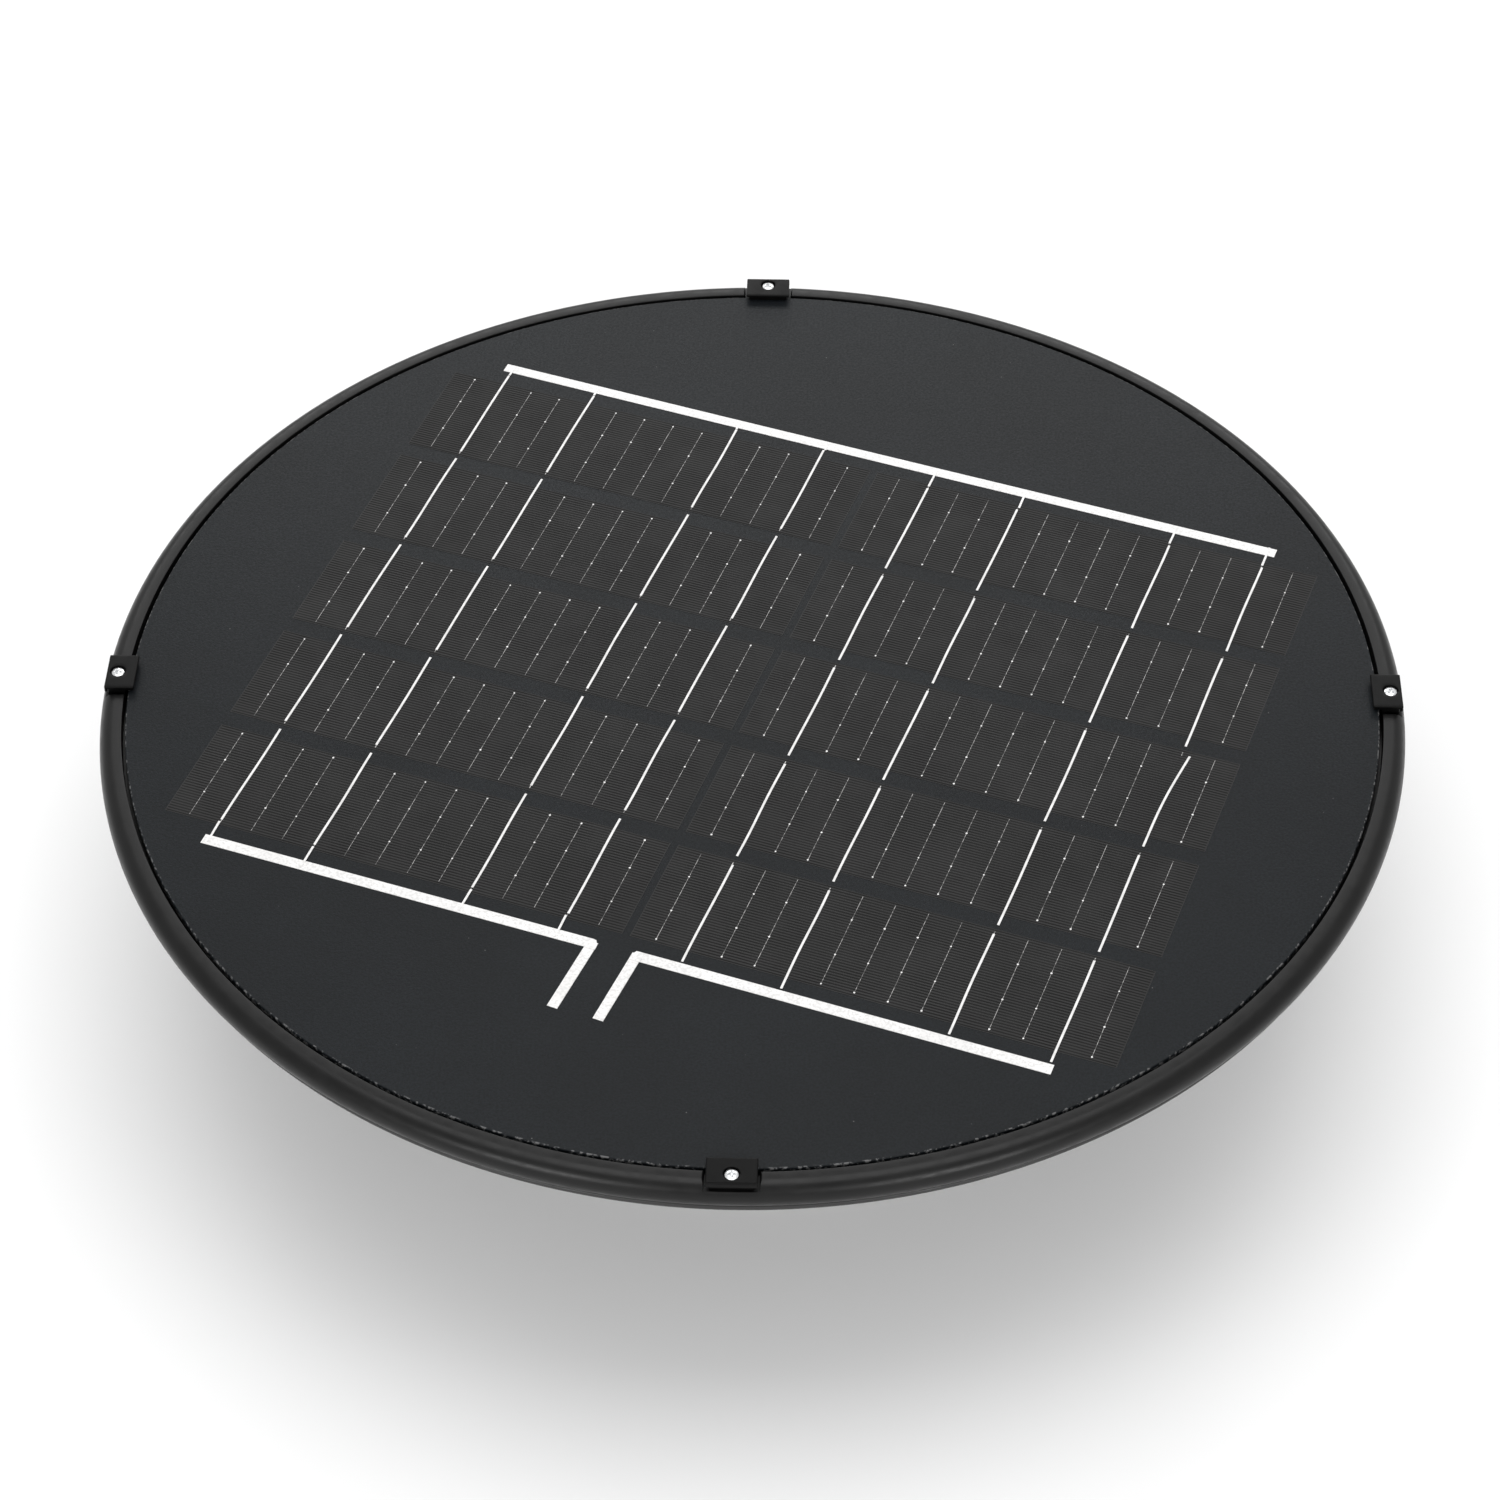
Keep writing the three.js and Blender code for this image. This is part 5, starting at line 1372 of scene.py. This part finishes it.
for band_points, band_faces in bands:
    all_points.append(band_points)
    all_faces.append(band_faces + start)
    start += len(band_points)
screen = piece("screen_band", np.concatenate(all_points), np.concatenate(all_faces), galvanised, sharp=40)
stands_for(screen, "galvanised_steel", "insect_screen")
print("screen holes:", len(fields))

# %% [markdown]
# ## The motor's bracket
# A cross of thick sheet spans the duct and holds the motor. Seen from the axis its outline has one
# radius in each direction: the arm's end, the arm's side or the round plate, whichever applies.
# The corners where an arm leaves the plate are filleted, because a sharp one would crack.

# %% Cut the bracket
ARM_HALF = 13 * MM
PLATE_RADIUS = 50 * MM
BOSS_HOLE = 13.2 * MM
FILLET = 14 * MM
arm_reach = high("motor_bracket").x
plate_low, plate_high = low("motor_bracket").z, high("motor_bracket").z


def cross_outline():
    """One quarter of the outline from the middle of an arm's end to the next, then four turns of it.
    A fillet touches the arm's side and the round plate, so its centre is its radius away from both."""
    corner = 3 * MM
    side = ARM_HALF + FILLET
    along = math.sqrt((PLATE_RADIUS + FILLET) ** 2 - side ** 2)
    swing = np.linspace(0, math.pi / 2, 6)
    end = corner * np.stack([np.cos(swing), np.sin(swing)], 1) + (arm_reach - corner, ARM_HALF - corner)
    start = np.linspace(0, ARM_HALF - corner, 5)[:-1]
    tip = np.stack([np.full(4, arm_reach), start], 1)
    run = np.stack([np.linspace(arm_reach - corner, along, 22)[1:-1], np.full(20, ARM_HALF)], 1)
    touch = math.atan2(side, along)
    bend = np.linspace(-math.pi / 2, -(math.pi - touch), 9)
    fillet = np.stack([along + FILLET * np.cos(bend), side + FILLET * np.sin(bend)], 1)
    round_part = np.linspace(touch, math.pi / 4, 5)[1:]
    plate = np.stack([PLATE_RADIUS * np.cos(round_part), PLATE_RADIUS * np.sin(round_part)], 1)
    eighth = np.concatenate([tip, end, run, fillet, plate])
    mirrored = eighth[:-1][::-1][:, ::-1]
    quarter = np.concatenate([eighth, mirrored[:-1]])
    level = np.c_[quarter, np.zeros(len(quarter))]
    return np.concatenate([moved(level, turn=k * math.pi / 2)[:, :2] for k in range(4)])


outline = cross_outline()
ray = outline / np.linalg.norm(outline, axis=1)[:, None]
edge = 0.4 * MM
rows = []
for height, sign in ((plate_high, 1), (plate_low, -1)):
    inner = ray * (BOSS_HOLE + edge)
    outer = outline - ray * edge
    face = [np.c_[inner + (outer - inner) * t, np.full(len(ray), height)] for t in np.linspace(0, 1, 9)]
    wall_in = np.c_[ray * BOSS_HOLE, np.full(len(ray), height - sign * edge)]
    wall_out = np.c_[outline, np.full(len(ray), height - sign * edge)]
    side_rows = [wall_in] + face + [wall_out]
    rows += side_rows if sign > 0 else side_rows[::-1]
cross = piece("cross_bracket", np.stack(rows), grid_faces(len(rows), len(ray), True, True), galvanised)
stands_for(cross, "galvanised_steel", "motor_bracket")
bracket_seat = plate_high + 0.1 * MM
bracket_screw = hex_screw_shell(4 * MM, 2.4 * MM, 2.1 * MM, 3.1 * MM, bracket_seat)
place_screws("bracket_screw", bracket_screw, zinc, "zinc_plated_steel", arm_reach - 7 * MM, 0.0)
print("bracket outline points:", len(outline))

# %% [markdown]
# ## The motor
# The housing is a drawn can with a round shoulder and two shallow grooves where it was rolled onto
# the end cap. It is open below, and a boss inside its roof holds the upper bearing. The cap
# closes it, and the cap's boss sits in the bracket.

# %% Turn the motor's pieces
motor_low, motor_high = low("motor_housing").z, high("motor_housing").z
motor_radius = high("motor_housing").x
CAN_WALL = 2 * MM
BEARING = 11 * MM
BEARING_GAP = 0.05 * MM
SHAFT = 4 * MM
bearing_high_low = low("bearing_upper").z
roof = motor_high - CAN_WALL
seat_radius = BEARING + BEARING_GAP


def grooved_wall(radius, bottom, top, grooves):
    """A wall from bottom to top with rolled grooves, each a rounded dip in the radius."""
    z = np.linspace(bottom, top, 60)
    dip = sum(swage_offset(z, place, 1.1 * MM, 0.45 * MM) for place in grooves)
    return np.stack([radius - dip, z], 1)


shoulder = rounded([(motor_radius, motor_high - 8 * MM), (motor_radius, motor_high), (0, motor_high)],
                   4 * MM, 8, closed=False)[:-1][::-1]
can_outside = grooved_wall(motor_radius, motor_low + 0.5 * MM, motor_high - 8.5 * MM,
                           (motor_low + 3 * MM, motor_low + 6 * MM))[::-1]
can_section = np.concatenate([
    [(0, motor_high)], shoulder, can_outside, [(motor_radius - 0.3 * MM, motor_low)],
    [(motor_radius - CAN_WALL, motor_low), (motor_radius - CAN_WALL, roof), (seat_radius + CAN_WALL, roof),
     (seat_radius + CAN_WALL, bearing_high_low), (seat_radius, bearing_high_low),
     (seat_radius, roof), (0, roof)]])
can_points, can_faces = turned_grid(can_section, 192, False)
stands_for(piece("motor_can", can_points, can_faces, powder), "black_powder_coat", "motor_housing")

cap_low, cap_high = low("motor_end_cap").z, high("motor_end_cap").z
CAP_BOSS = 13 * MM
cap_bottom = plate_high + 0.1 * MM
cap_floor = cap_bottom + 3 * MM
spigot = motor_radius - CAN_WALL - 0.3 * MM
stands_for(lathe("end_cap", [
    (SHAFT + 1 * MM, cap_low), (CAP_BOSS, cap_low), (CAP_BOSS, cap_bottom), (motor_radius, cap_bottom),
    (motor_radius, cap_floor), (spigot, cap_floor), (spigot, cap_floor + 2 * MM),
    (spigot - 2 * MM, cap_floor + 2 * MM), (spigot - 2 * MM, cap_floor), (seat_radius + CAN_WALL, cap_floor),
    (seat_radius + CAN_WALL, cap_high), (seat_radius, cap_high), (seat_radius, cap_floor),
    (SHAFT + 1 * MM, cap_floor),
], np.array([0.5, 0.8, 0.4, 0.6, 0.3, 0.3, 0.4, 0.4, 0.4, 0.5, 0.4, 0.4, 0.3, 0.4]) * MM, mill, segments=160),
    "mill_aluminium", "motor_end_cap")
print("motor height:", round((motor_high - cap_bottom) / MM, 1), "mm")

# %% [markdown]
# A bearing is two steel rings with a shield between them. The shield lies a little lower than the
# rings, so each ring shows as a bright circle.

# %% Turn the bearings, the rotor and the stator
BEARING_INNER = SHAFT + 0.05 * MM
for node in ("bearing_lower", "bearing_upper"):
    z0, z1 = low(node).z, high(node).z
    dip = 0.5 * MM
    ring_in, ring_out = BEARING_INNER + 1.7 * MM, BEARING - 1.8 * MM
    stands_for(lathe(f"ball_{node}", [
        (BEARING_INNER, z0), (ring_in, z0), (ring_in, z0 + dip), (ring_out, z0 + dip),
        (ring_out, z0), (BEARING, z0),
        (BEARING, z1), (ring_out, z1), (ring_out, z1 - dip), (ring_in, z1 - dip),
        (ring_in, z1), (BEARING_INNER, z1),
    ], 0.25 * MM, turned_steel, segments=96), "bright_steel", node)


def toothed_ring(inner, outer, bottom, top, teeth, depth, share, steps):
    """A ring whose inner radius goes back by depth between its teeth, with rounded changes."""
    count = teeth * steps
    angle = np.linspace(0, 2 * np.pi, count, endpoint=False)
    phase = np.abs((angle * teeth / (2 * np.pi)) % 1 - 0.5) * 2
    gap = soft_step(1 - phase, 1 - share, 0.12)
    bore = inner + depth * gap
    rows = [(bore, bottom), (bore, top), (outer + 0 * angle, top), (outer + 0 * angle, bottom)]
    radius = np.stack([r for r, _ in rows])
    height = np.stack([z + 0 * angle for _, z in rows])
    points = np.stack([radius * np.cos(angle), radius * np.sin(angle), height], -1)
    return points, grid_faces(4, count, True, True)


stator_low, stator_high = low("motor_stator").z, high("motor_stator").z
stator_points, stator_faces = toothed_ring(26 * MM, 39.6 * MM, stator_low, stator_high, 12, 4 * MM, 0.6, 16)
stands_for(piece("wound_stator", stator_points, stator_faces, winding), "copper_winding", "motor_stator")
rotor_low, rotor_high = low("motor_rotor").z, high("motor_rotor").z
stands_for(lathe("magnet_rotor", [
    (SHAFT + 0.05 * MM, rotor_low), (25.4 * MM, rotor_low), (25.4 * MM, rotor_high), (21 * MM, rotor_high),
    (19 * MM, rotor_high - 1 * MM), (9 * MM, rotor_high - 1 * MM), (8 * MM, rotor_high),
    (SHAFT + 0.05 * MM, rotor_high),
], 0.5 * MM, turned_steel, segments=160, body="rotor"), "bright_steel", "motor_rotor")

# %% [markdown]
# ## Shaft, hub and nut
# The shaft carries a hub with a wide flange, the fan's plate is riveted under that flange, and a
# nut holds the hub from below.

# %% Turn the shaft, the hub and the nut
shaft_low, shaft_high = low("motor_shaft").z, high("motor_shaft").z
stands_for(lathe("spindle", [
    (0, shaft_low), (SHAFT, shaft_low), (SHAFT, shaft_high), (0, shaft_high),
], 0.8 * MM, turned_steel, segments=64, closed=False, body="rotor"), "bright_steel", "motor_shaft")

hub_low, hub_high = low("fan_hub").z, high("fan_hub").z
HUB_BOSS = 12 * MM
HUB_FLANGE = 24 * MM
HUB_BORE = SHAFT + 0.05 * MM
fan_middle = 48 * MM
BLADE_SHEET = 1.6 * MM
hub_face = fan_middle + BLADE_SHEET / 2 + 0.1 * MM
hub_back = hub_face + 3.4 * MM
stands_for(lathe("hub", [
    (HUB_BORE, hub_low), (HUB_BOSS, hub_low), (HUB_BOSS, hub_face), (HUB_FLANGE, hub_face),
    (HUB_FLANGE, hub_back),
    (HUB_BOSS, hub_back), (HUB_BOSS, hub_high), (HUB_BORE, hub_high),
], np.array([0.6, 1.0, 0.3, 0.7, 0.7, 1.5, 1.0, 0.6]) * MM, turned_steel, segments=128, body="rotor"),
    "bright_steel", "fan_hub")


def hex_nut_shell(radius, bore, bottom, top):
    """A nut: the half width over the flats divided by the cosine of the angle to the nearest flat,
    with its corners turned off at both ends."""
    count = 96
    angle = np.linspace(0, 2 * np.pi, count, endpoint=False)
    flat = (angle + math.pi / 6) % (math.pi / 3) - math.pi / 6
    half = radius * math.cos(math.pi / 6)
    hexagon = np.minimum(half / np.cos(flat), 0.99 * radius)
    drop = (hexagon - half) * 0.6 + 0.1 * MM
    small = half * 0.97 + 0 * angle
    hole = bore + 0 * angle
    rows = [(hole, bottom + 0.4 * MM), (hole + 0.4 * MM, bottom), (small, bottom), (hexagon, bottom + drop),
            (hexagon, top - drop), (small, top), (hole + 0.4 * MM, top), (hole, top - 0.4 * MM)]
    radii = np.stack([r for r, _ in rows])
    height = np.stack([z + 0 * angle for _, z in rows])
    points = np.stack([radii * np.cos(angle), radii * np.sin(angle), height], -1)
    return points, grid_faces(len(rows), count, True, True)


nut_points, nut_faces = hex_nut_shell(7.5 * MM, HUB_BORE, low("hub_nut").z, high("hub_nut").z)
stands_for(piece("lock_nut", nut_points, nut_faces, zinc, body="rotor"), "zinc_plated_steel", "hub_nut")

# %% [markdown]
# ## The fan
# A blade's middle surface is given by two parameters. u runs from the root to the tip and v
# across the chord. The pitch is flat in the plate and grows outside it, and the chord widens
# towards the tip. The sheet's two faces lie half its thickness to each side, along the normal,
# which is the cross product of the two directions of the surface. A pressed rib stiffens the root.

# %% Form the blades
BLADES = 5
BLADE_ROOT = 26 * MM
BLADE_TIP = 150 * MM
ROOT_CHORD, TIP_CHORD = 30 * MM, 98 * MM
ROOT_PITCH, TIP_PITCH = math.radians(29), math.radians(21)
CAMBER = 0.05
RIB_HEIGHT = 1.1 * MM


def smooth(x):
    t = np.clip(x, 0, 1)
    return t * t * (3 - 2 * t)


def blade_surface(u, v):
    """Point of the middle surface for u and v from 0 to 1."""
    radius = BLADE_ROOT + (BLADE_TIP - BLADE_ROOT) * u
    corner = 1 - 0.3 * np.maximum(0, (u - 0.86) / 0.14) ** 3
    chord = (ROOT_CHORD + (TIP_CHORD - ROOT_CHORD) * smooth(u * 1.15)) * corner
    rise = smooth((u - 0.1) / 0.24)
    pitch = (ROOT_PITCH + (TIP_PITCH - ROOT_PITCH) * u) * rise
    across = (v - 0.5) * chord
    bulge = chord * CAMBER * (1 - (2 * v - 1) ** 2) * rise
    ends = smooth((u - 0.13) / 0.1) * (1 - smooth((u - 0.5) / 0.2))
    rib = RIB_HEIGHT * np.exp(-(across / (4.5 * MM)) ** 2) * ends
    lift = bulge + rib
    tangent = across * np.cos(pitch) - lift * np.sin(pitch)
    height = across * np.sin(pitch) + lift * np.cos(pitch)
    angle = tangent / radius
    return np.stack([radius * np.cos(angle), radius * np.sin(angle), fan_middle + height], -1)


def blade_shell(long_steps=56, cross_steps=36):
    """Rings round the blade: along its upper face, round the edge, back along its lower face."""
    u = np.linspace(0, 1, long_steps + 1)
    v = np.linspace(0, 1, cross_steps + 1)
    turn = np.radians([90, 45, 0, -45, -90])
    ring_v = np.concatenate([v[:-1], np.full(5, 1.0), v[::-1][1:-1], np.full(5, 0.0)])
    front, back = np.full(cross_steps, 1.0), np.full(cross_steps - 1, -1.0)
    side = np.concatenate([front, np.sin(turn), back, -np.sin(turn)])
    out = np.concatenate([np.zeros(cross_steps), np.cos(turn), np.zeros(cross_steps - 1), -np.cos(turn)])
    uu, vv = np.meshgrid(u, ring_v, indexing="ij")
    small = 1e-4
    along = blade_surface(uu + small, vv) - blade_surface(uu - small, vv)
    across = blade_surface(uu, vv + small) - blade_surface(uu, vv - small)
    normal = np.cross(along, across)
    normal /= np.linalg.norm(normal, axis=-1)[..., None]
    across /= np.linalg.norm(across, axis=-1)[..., None]
    half = BLADE_SHEET / 2 * (0.94 + 0.04 * smooth((uu - 0.02) / 0.08))[..., None]
    middle_points = blade_surface(uu, vv)
    points = middle_points + normal * side[None, :, None] * half + across * out[None, :, None] * half
    outwards = along / np.linalg.norm(along, axis=-1)[..., None]
    cap = []
    for a in np.radians([30, 60, 90]):
        thin = (points[-1] - middle_points[-1]) * math.cos(a)
        cap.append(middle_points[-1] + thin + outwards[-1] * half[-1] * math.sin(a))
    points = np.concatenate([middle_points[:1], points, np.stack(cap)])
    return points.reshape(-1, 3), grid_faces(len(points), points.shape[1], False, True)


blade_points, blade_faces = blade_shell()
fan_shells = [(moved(blade_points, turn=2 * math.pi * k / BLADES), blade_faces) for k in range(BLADES)]
plate_section = rounded([
    (HUB_BOSS + 0.1 * MM, fan_middle - BLADE_SHEET / 2), (40 * MM, fan_middle - BLADE_SHEET / 2),
    (40 * MM, fan_middle + BLADE_SHEET / 2),
    (HUB_BOSS + 0.1 * MM, fan_middle + BLADE_SHEET / 2)], 0.5 * MM, 3)
fan_shells.append(turned_grid(plate_section, 160, True))
fan = stands_for(several("fan", fan_shells, mill, body="rotor"), "mill_aluminium", "fan_blades")
print("fan faces:", len(fan.data.polygons))

RIVET_CIRCLE = 18 * MM
RIVET_RADIUS = 2.6 * MM
RIVET_RISE = 1.3 * MM
rivet_turn = np.radians(np.linspace(90, 0, 6))
dome = np.stack([RIVET_RADIUS * np.cos(rivet_turn), RIVET_RISE * np.sin(rivet_turn)], 1)
rivet_section = np.concatenate([
    dome * (1, -1) + (0, fan_middle - BLADE_SHEET / 2), dome[::-1] + (0, hub_back)])
rivet_points, rivet_faces = turned_grid(rivet_section, 24, False)
rivet_turns = [2 * math.pi * (k + 0.5) / BLADES for k in range(BLADES)]
rivets = [(moved(rivet_points, x=RIVET_CIRCLE, turn=turn), rivet_faces) for turn in rivet_turns]
several("hub_rivets", rivets, zinc, body="rotor")

# %% [markdown]
# ## Junction box and lead
# The box under the panel is a small moulded tray with a lid. A two-core lead leaves its side, lies
# on the pan, goes down through a rubber grommet and into the motor. The lead's middle line is a
# smooth curve through a few points: each stretch is a cubic whose slopes at its ends come from the
# neighbouring points, weighted by the square root of their distances.

# %% Make the box
BOX_LENGTH = 52 * MM
BOX_WIDTH = 34 * MM
box_centre = on_grid([(0, -LEAD_REACH, 0)])[0]
box_distance = math.hypot(box_centre[0], box_centre[1])
lead_turn = math.atan2(box_centre[1], box_centre[0])


def box_shell(half_x, half_y, bottom, top, corner, edge):
    """A rounded block: rounded rectangles from its underside up, drawn in near both faces."""
    rows = []
    for height, sign in ((bottom, 1), (top, -1)):
        part = [np.c_[rectangle_outline(-half_x, half_x, half_y, corner, 0) * 0.0, np.full(76, height)]]
        for a in np.radians(np.linspace(90, 0, 5)):
            flat = rectangle_outline(-half_x, half_x, half_y, corner, edge * (1 - math.cos(a)))
            part.append(np.c_[flat, np.full(len(flat), height + sign * edge * (1 - math.sin(a)))])
        rows += part if sign > 0 else part[::-1]
    return np.stack(rows), grid_faces(len(rows), 76, False, True)


for node, name in (("junction_box", "box_tray"), ("junction_box_lid", "box_lid")):
    z0, z1 = low(node).z, high(node).z
    if node == "junction_box_lid":
        z1 = z0 + 2 * MM
    box_points, box_faces = box_shell(BOX_WIDTH / 2, BOX_LENGTH / 2, z0, z1, 3 * MM, 0.6 * MM)
    placed = moved(box_points, x=box_distance, turn=lead_turn)
    stands_for(piece(name, placed, box_faces, clip_plastic), "black_plastic", node)

# %% Lead it to the motor
LEAD_RADIUS = 2.5 * MM
GROMMET_DISTANCE = 75 * MM
GROMMET_HOLE = 7 * MM
GROMMET_LIP = 1.8 * MM
box_inner = box_distance - BOX_WIDTH / 2
exit_height = (low("junction_box_lid").z + high("junction_box").z) / 2
inlet_height = roof - 13 * MM
on_floor = pan_bottom + SHEET + LEAD_RADIUS + 0.3 * MM
grommet_top = pan_bottom + SHEET + GROMMET_LIP
grommet_bottom = pan_bottom - GROMMET_LIP
run = box_inner - GROMMET_DISTANCE
route = np.array([
    (box_inner - 0.3 * MM, exit_height), (box_inner - 0.07 * run, exit_height),
    (box_inner - 0.19 * run, exit_height - 7 * MM), (box_inner - 0.35 * run, on_floor + 1 * MM),
    (box_inner - 0.48 * run, on_floor), (box_inner - 0.67 * run, on_floor + 1 * MM),
    (box_inner - 0.81 * run, on_floor + 9 * MM), (box_inner - 0.93 * run, on_floor + 11 * MM),
    (75.4 * MM, on_floor + 3 * MM), (75 * MM, grommet_top),
    (75 * MM, grommet_bottom), (73 * MM, inlet_height + 12 * MM), (64 * MM, inlet_height + 3.5 * MM),
    (55 * MM, inlet_height), (motor_radius + 0.3 * MM, inlet_height)])


def smooth_line(points, steps):
    """The curve through the points, with steps points on each stretch."""
    first, last = 2 * points[0] - points[1], 2 * points[-1] - points[-2]
    p = np.concatenate([[first], points, [last]])
    gap = np.sqrt(np.linalg.norm(np.diff(p, axis=0), axis=1))
    g0, g1, g2 = gap[:-2, None], gap[1:-1, None], gap[2:, None]
    slope_a = ((p[1:-2] - p[:-3]) / g0 - (p[2:-1] - p[:-3]) / (g0 + g1) + (p[2:-1] - p[1:-2]) / g1) * g1
    slope_b = ((p[2:-1] - p[1:-2]) / g1 - (p[3:] - p[1:-2]) / (g1 + g2) + (p[3:] - p[2:-1]) / g2) * g1
    t = np.linspace(0, 1, steps, endpoint=False)[None, :, None]
    a, b, slope_a, slope_b = p[1:-2, None], p[2:-1, None], slope_a[:, None], slope_b[:, None]
    curve = a + slope_a * t + (3 * (b - a) - 2 * slope_a - slope_b) * t ** 2
    curve = curve + (2 * (a - b) + slope_a + slope_b) * t ** 3
    return np.concatenate([curve.reshape(-1, points.shape[1]), points[-1:]])


def tube_shell(line, radius, sides=24):
    """A round tube along a line of (distance, height) points in the upright plane of the lead."""
    steps = np.gradient(line, axis=0)
    steps /= np.linalg.norm(steps, axis=1)[:, None]
    out = np.stack([-steps[:, 1], steps[:, 0]], 1)
    a = np.linspace(0, 2 * np.pi, sides, endpoint=False)
    points = np.empty((len(line), sides, 3))
    points[..., 0] = line[:, :1] + out[:, :1] * radius * np.cos(a)
    points[..., 1] = radius * np.sin(a)
    points[..., 2] = line[:, 1:] + out[:, 1:] * radius * np.cos(a)
    caps = points[[0, -1]].mean(axis=1, keepdims=True) + 0 * points[[0, -1]]
    points = np.concatenate([caps[:1], points, caps[1:]])
    return points.reshape(-1, 3), grid_faces(len(points), sides, False, True)


lead_line = smooth_line(route, 10)
lead_points, lead_faces = tube_shell(lead_line, LEAD_RADIUS)
lead = piece("two_core_lead", moved(lead_points, turn=lead_turn), lead_faces, rubber)
stands_for(lead, "black_rubber", "motor_lead")
lead_length = float(np.linalg.norm(np.diff(lead_line, axis=0), axis=1).sum())
stands_for(lathe("grommet", [
    (LEAD_RADIUS + 0.6 * MM, grommet_bottom), (GROMMET_HOLE + 2.5 * MM, grommet_bottom),
    (GROMMET_HOLE + 2.5 * MM, pan_bottom - 0.1 * MM), (GROMMET_HOLE - 0.1 * MM, pan_bottom - 0.1 * MM),
    (GROMMET_HOLE - 0.1 * MM, pan_bottom + SHEET + 0.1 * MM),
    (GROMMET_HOLE + 2.5 * MM, pan_bottom + SHEET + 0.1 * MM),
    (GROMMET_HOLE + 2.5 * MM, grommet_top), (LEAD_RADIUS + 0.6 * MM, grommet_top),
], np.array([0.5, 0.8, 0.5, 0.1, 0.1, 0.5, 0.8, 0.5]) * MM, rubber, segments=72),
    "black_rubber", "cable_grommet")
grommet = bpy.data.objects["grommet"]
shift = Matrix.Translation(
    (GROMMET_DISTANCE * math.cos(lead_turn), GROMMET_DISTANCE * math.sin(lead_turn), 0))
grommet.data.transform(shift)
print("lead length:", round(lead_length / MM, 1), "mm")

# %% [markdown]
# A lead is not glued to a can: it enters through a short tapered boot, which keeps it from
# bending sharply at the wall.

# %% Make the boot
BOOT_LENGTH = 11 * MM
boot_along = np.linspace(0, 1, 12)
boot_line = np.stack([motor_radius - 0.6 * MM + boot_along * BOOT_LENGTH, np.full(12, inlet_height)], 1)
boot_points, boot_faces = tube_shell(boot_line, 1.0, 32)
boot_points = boot_points.reshape(14, 32, 3)
taper = np.concatenate([[1.0], 5.4 - 2.1 * boot_along + 0.28 * np.cos(boot_along * 8 * math.pi), [1.0]]) * MM
centre = np.concatenate([boot_line[:1], boot_line, boot_line[-1:]])
boot_points[..., 1] *= taper[:, None]
boot_points[..., 2] = centre[:, 1:] + (boot_points[..., 2] - centre[:, 1:]) * taper[:, None]
boot = piece("lead_boot", moved(boot_points, turn=lead_turn), boot_faces, rubber)

# %% [markdown]
# ## Floor and light
# The object stands on a plain pale floor that is large enough to fill the view from any side. Two
# large soft lamps stand in front to the left and right, so that the bead catches a streak on each
# side and stays dark between them. A broad one above lights the whole, one behind lights the far
# shelf, and an even sky fills the shadows.

# %% Lay the floor and hang the lamps
FLOOR_HALF = 14.0
FLOOR_CELLS = 24


def floor_finish():
    f = Finish("pale_floor", grey(0.88), 0.9, specular=0.2)
    f.colour(f.mix(f.ramp(f.noise(0.4, 2), 0.3, 0.7), grey(0.87), grey(0.89)))
    return f.material


across = np.linspace(-FLOOR_HALF, FLOOR_HALF, FLOOR_CELLS + 1)
gx, gy = np.meshgrid(across, across, indexing="ij")
floor_points = np.stack([gx, gy, np.zeros_like(gx)], axis=-1).reshape(-1, 3)
floor_mesh = bpy.data.meshes.new("floor")
floor_faces = grid_faces(FLOOR_CELLS + 1, FLOOR_CELLS + 1, False, False)
floor_mesh.from_pydata(floor_points.tolist(), [], floor_faces.tolist())
floor_mesh.materials.append(floor_finish())
floor = bpy.data.objects.new("floor", floor_mesh)
bpy.context.scene.collection.objects.link(floor)


def lamp(name, place, size, power, aimed=(0.0, 0.0, 0.1)):
    light = bpy.data.lights.new(name, "AREA")
    light.shape = "RECTANGLE"
    light.size, light.size_y = size
    light.energy = power
    made = bpy.data.objects.new(name, light)
    made.location = place
    made.rotation_euler = (Vector(aimed) - Vector(place)).to_track_quat("-Z", "Y").to_euler()
    bpy.context.scene.collection.objects.link(made)
    return made


lamp("left_lamp", (-1.3, -2.3, 1.1), (0.9, 0.9), 20)
lamp("right_lamp", (1.3, -2.3, 1.1), (0.9, 0.9), 20)
lamp("top_lamp", (0.0, 0.2, 2.8), (2.4, 2.0), 34)
lamp("far_lamp", (0.0, 2.4, 1.6), (2.6, 0.8), 19)

world = bpy.data.worlds.new("soft_sky")
world.use_nodes = True
sky = world.node_tree.nodes["Background"]
sky.inputs["Color"].default_value = (1.0, 1.0, 1.0, 1.0)
sky.inputs["Strength"].default_value = 0.7
bpy.context.scene.world = world
bpy.context.scene.view_settings.view_transform = "Standard"
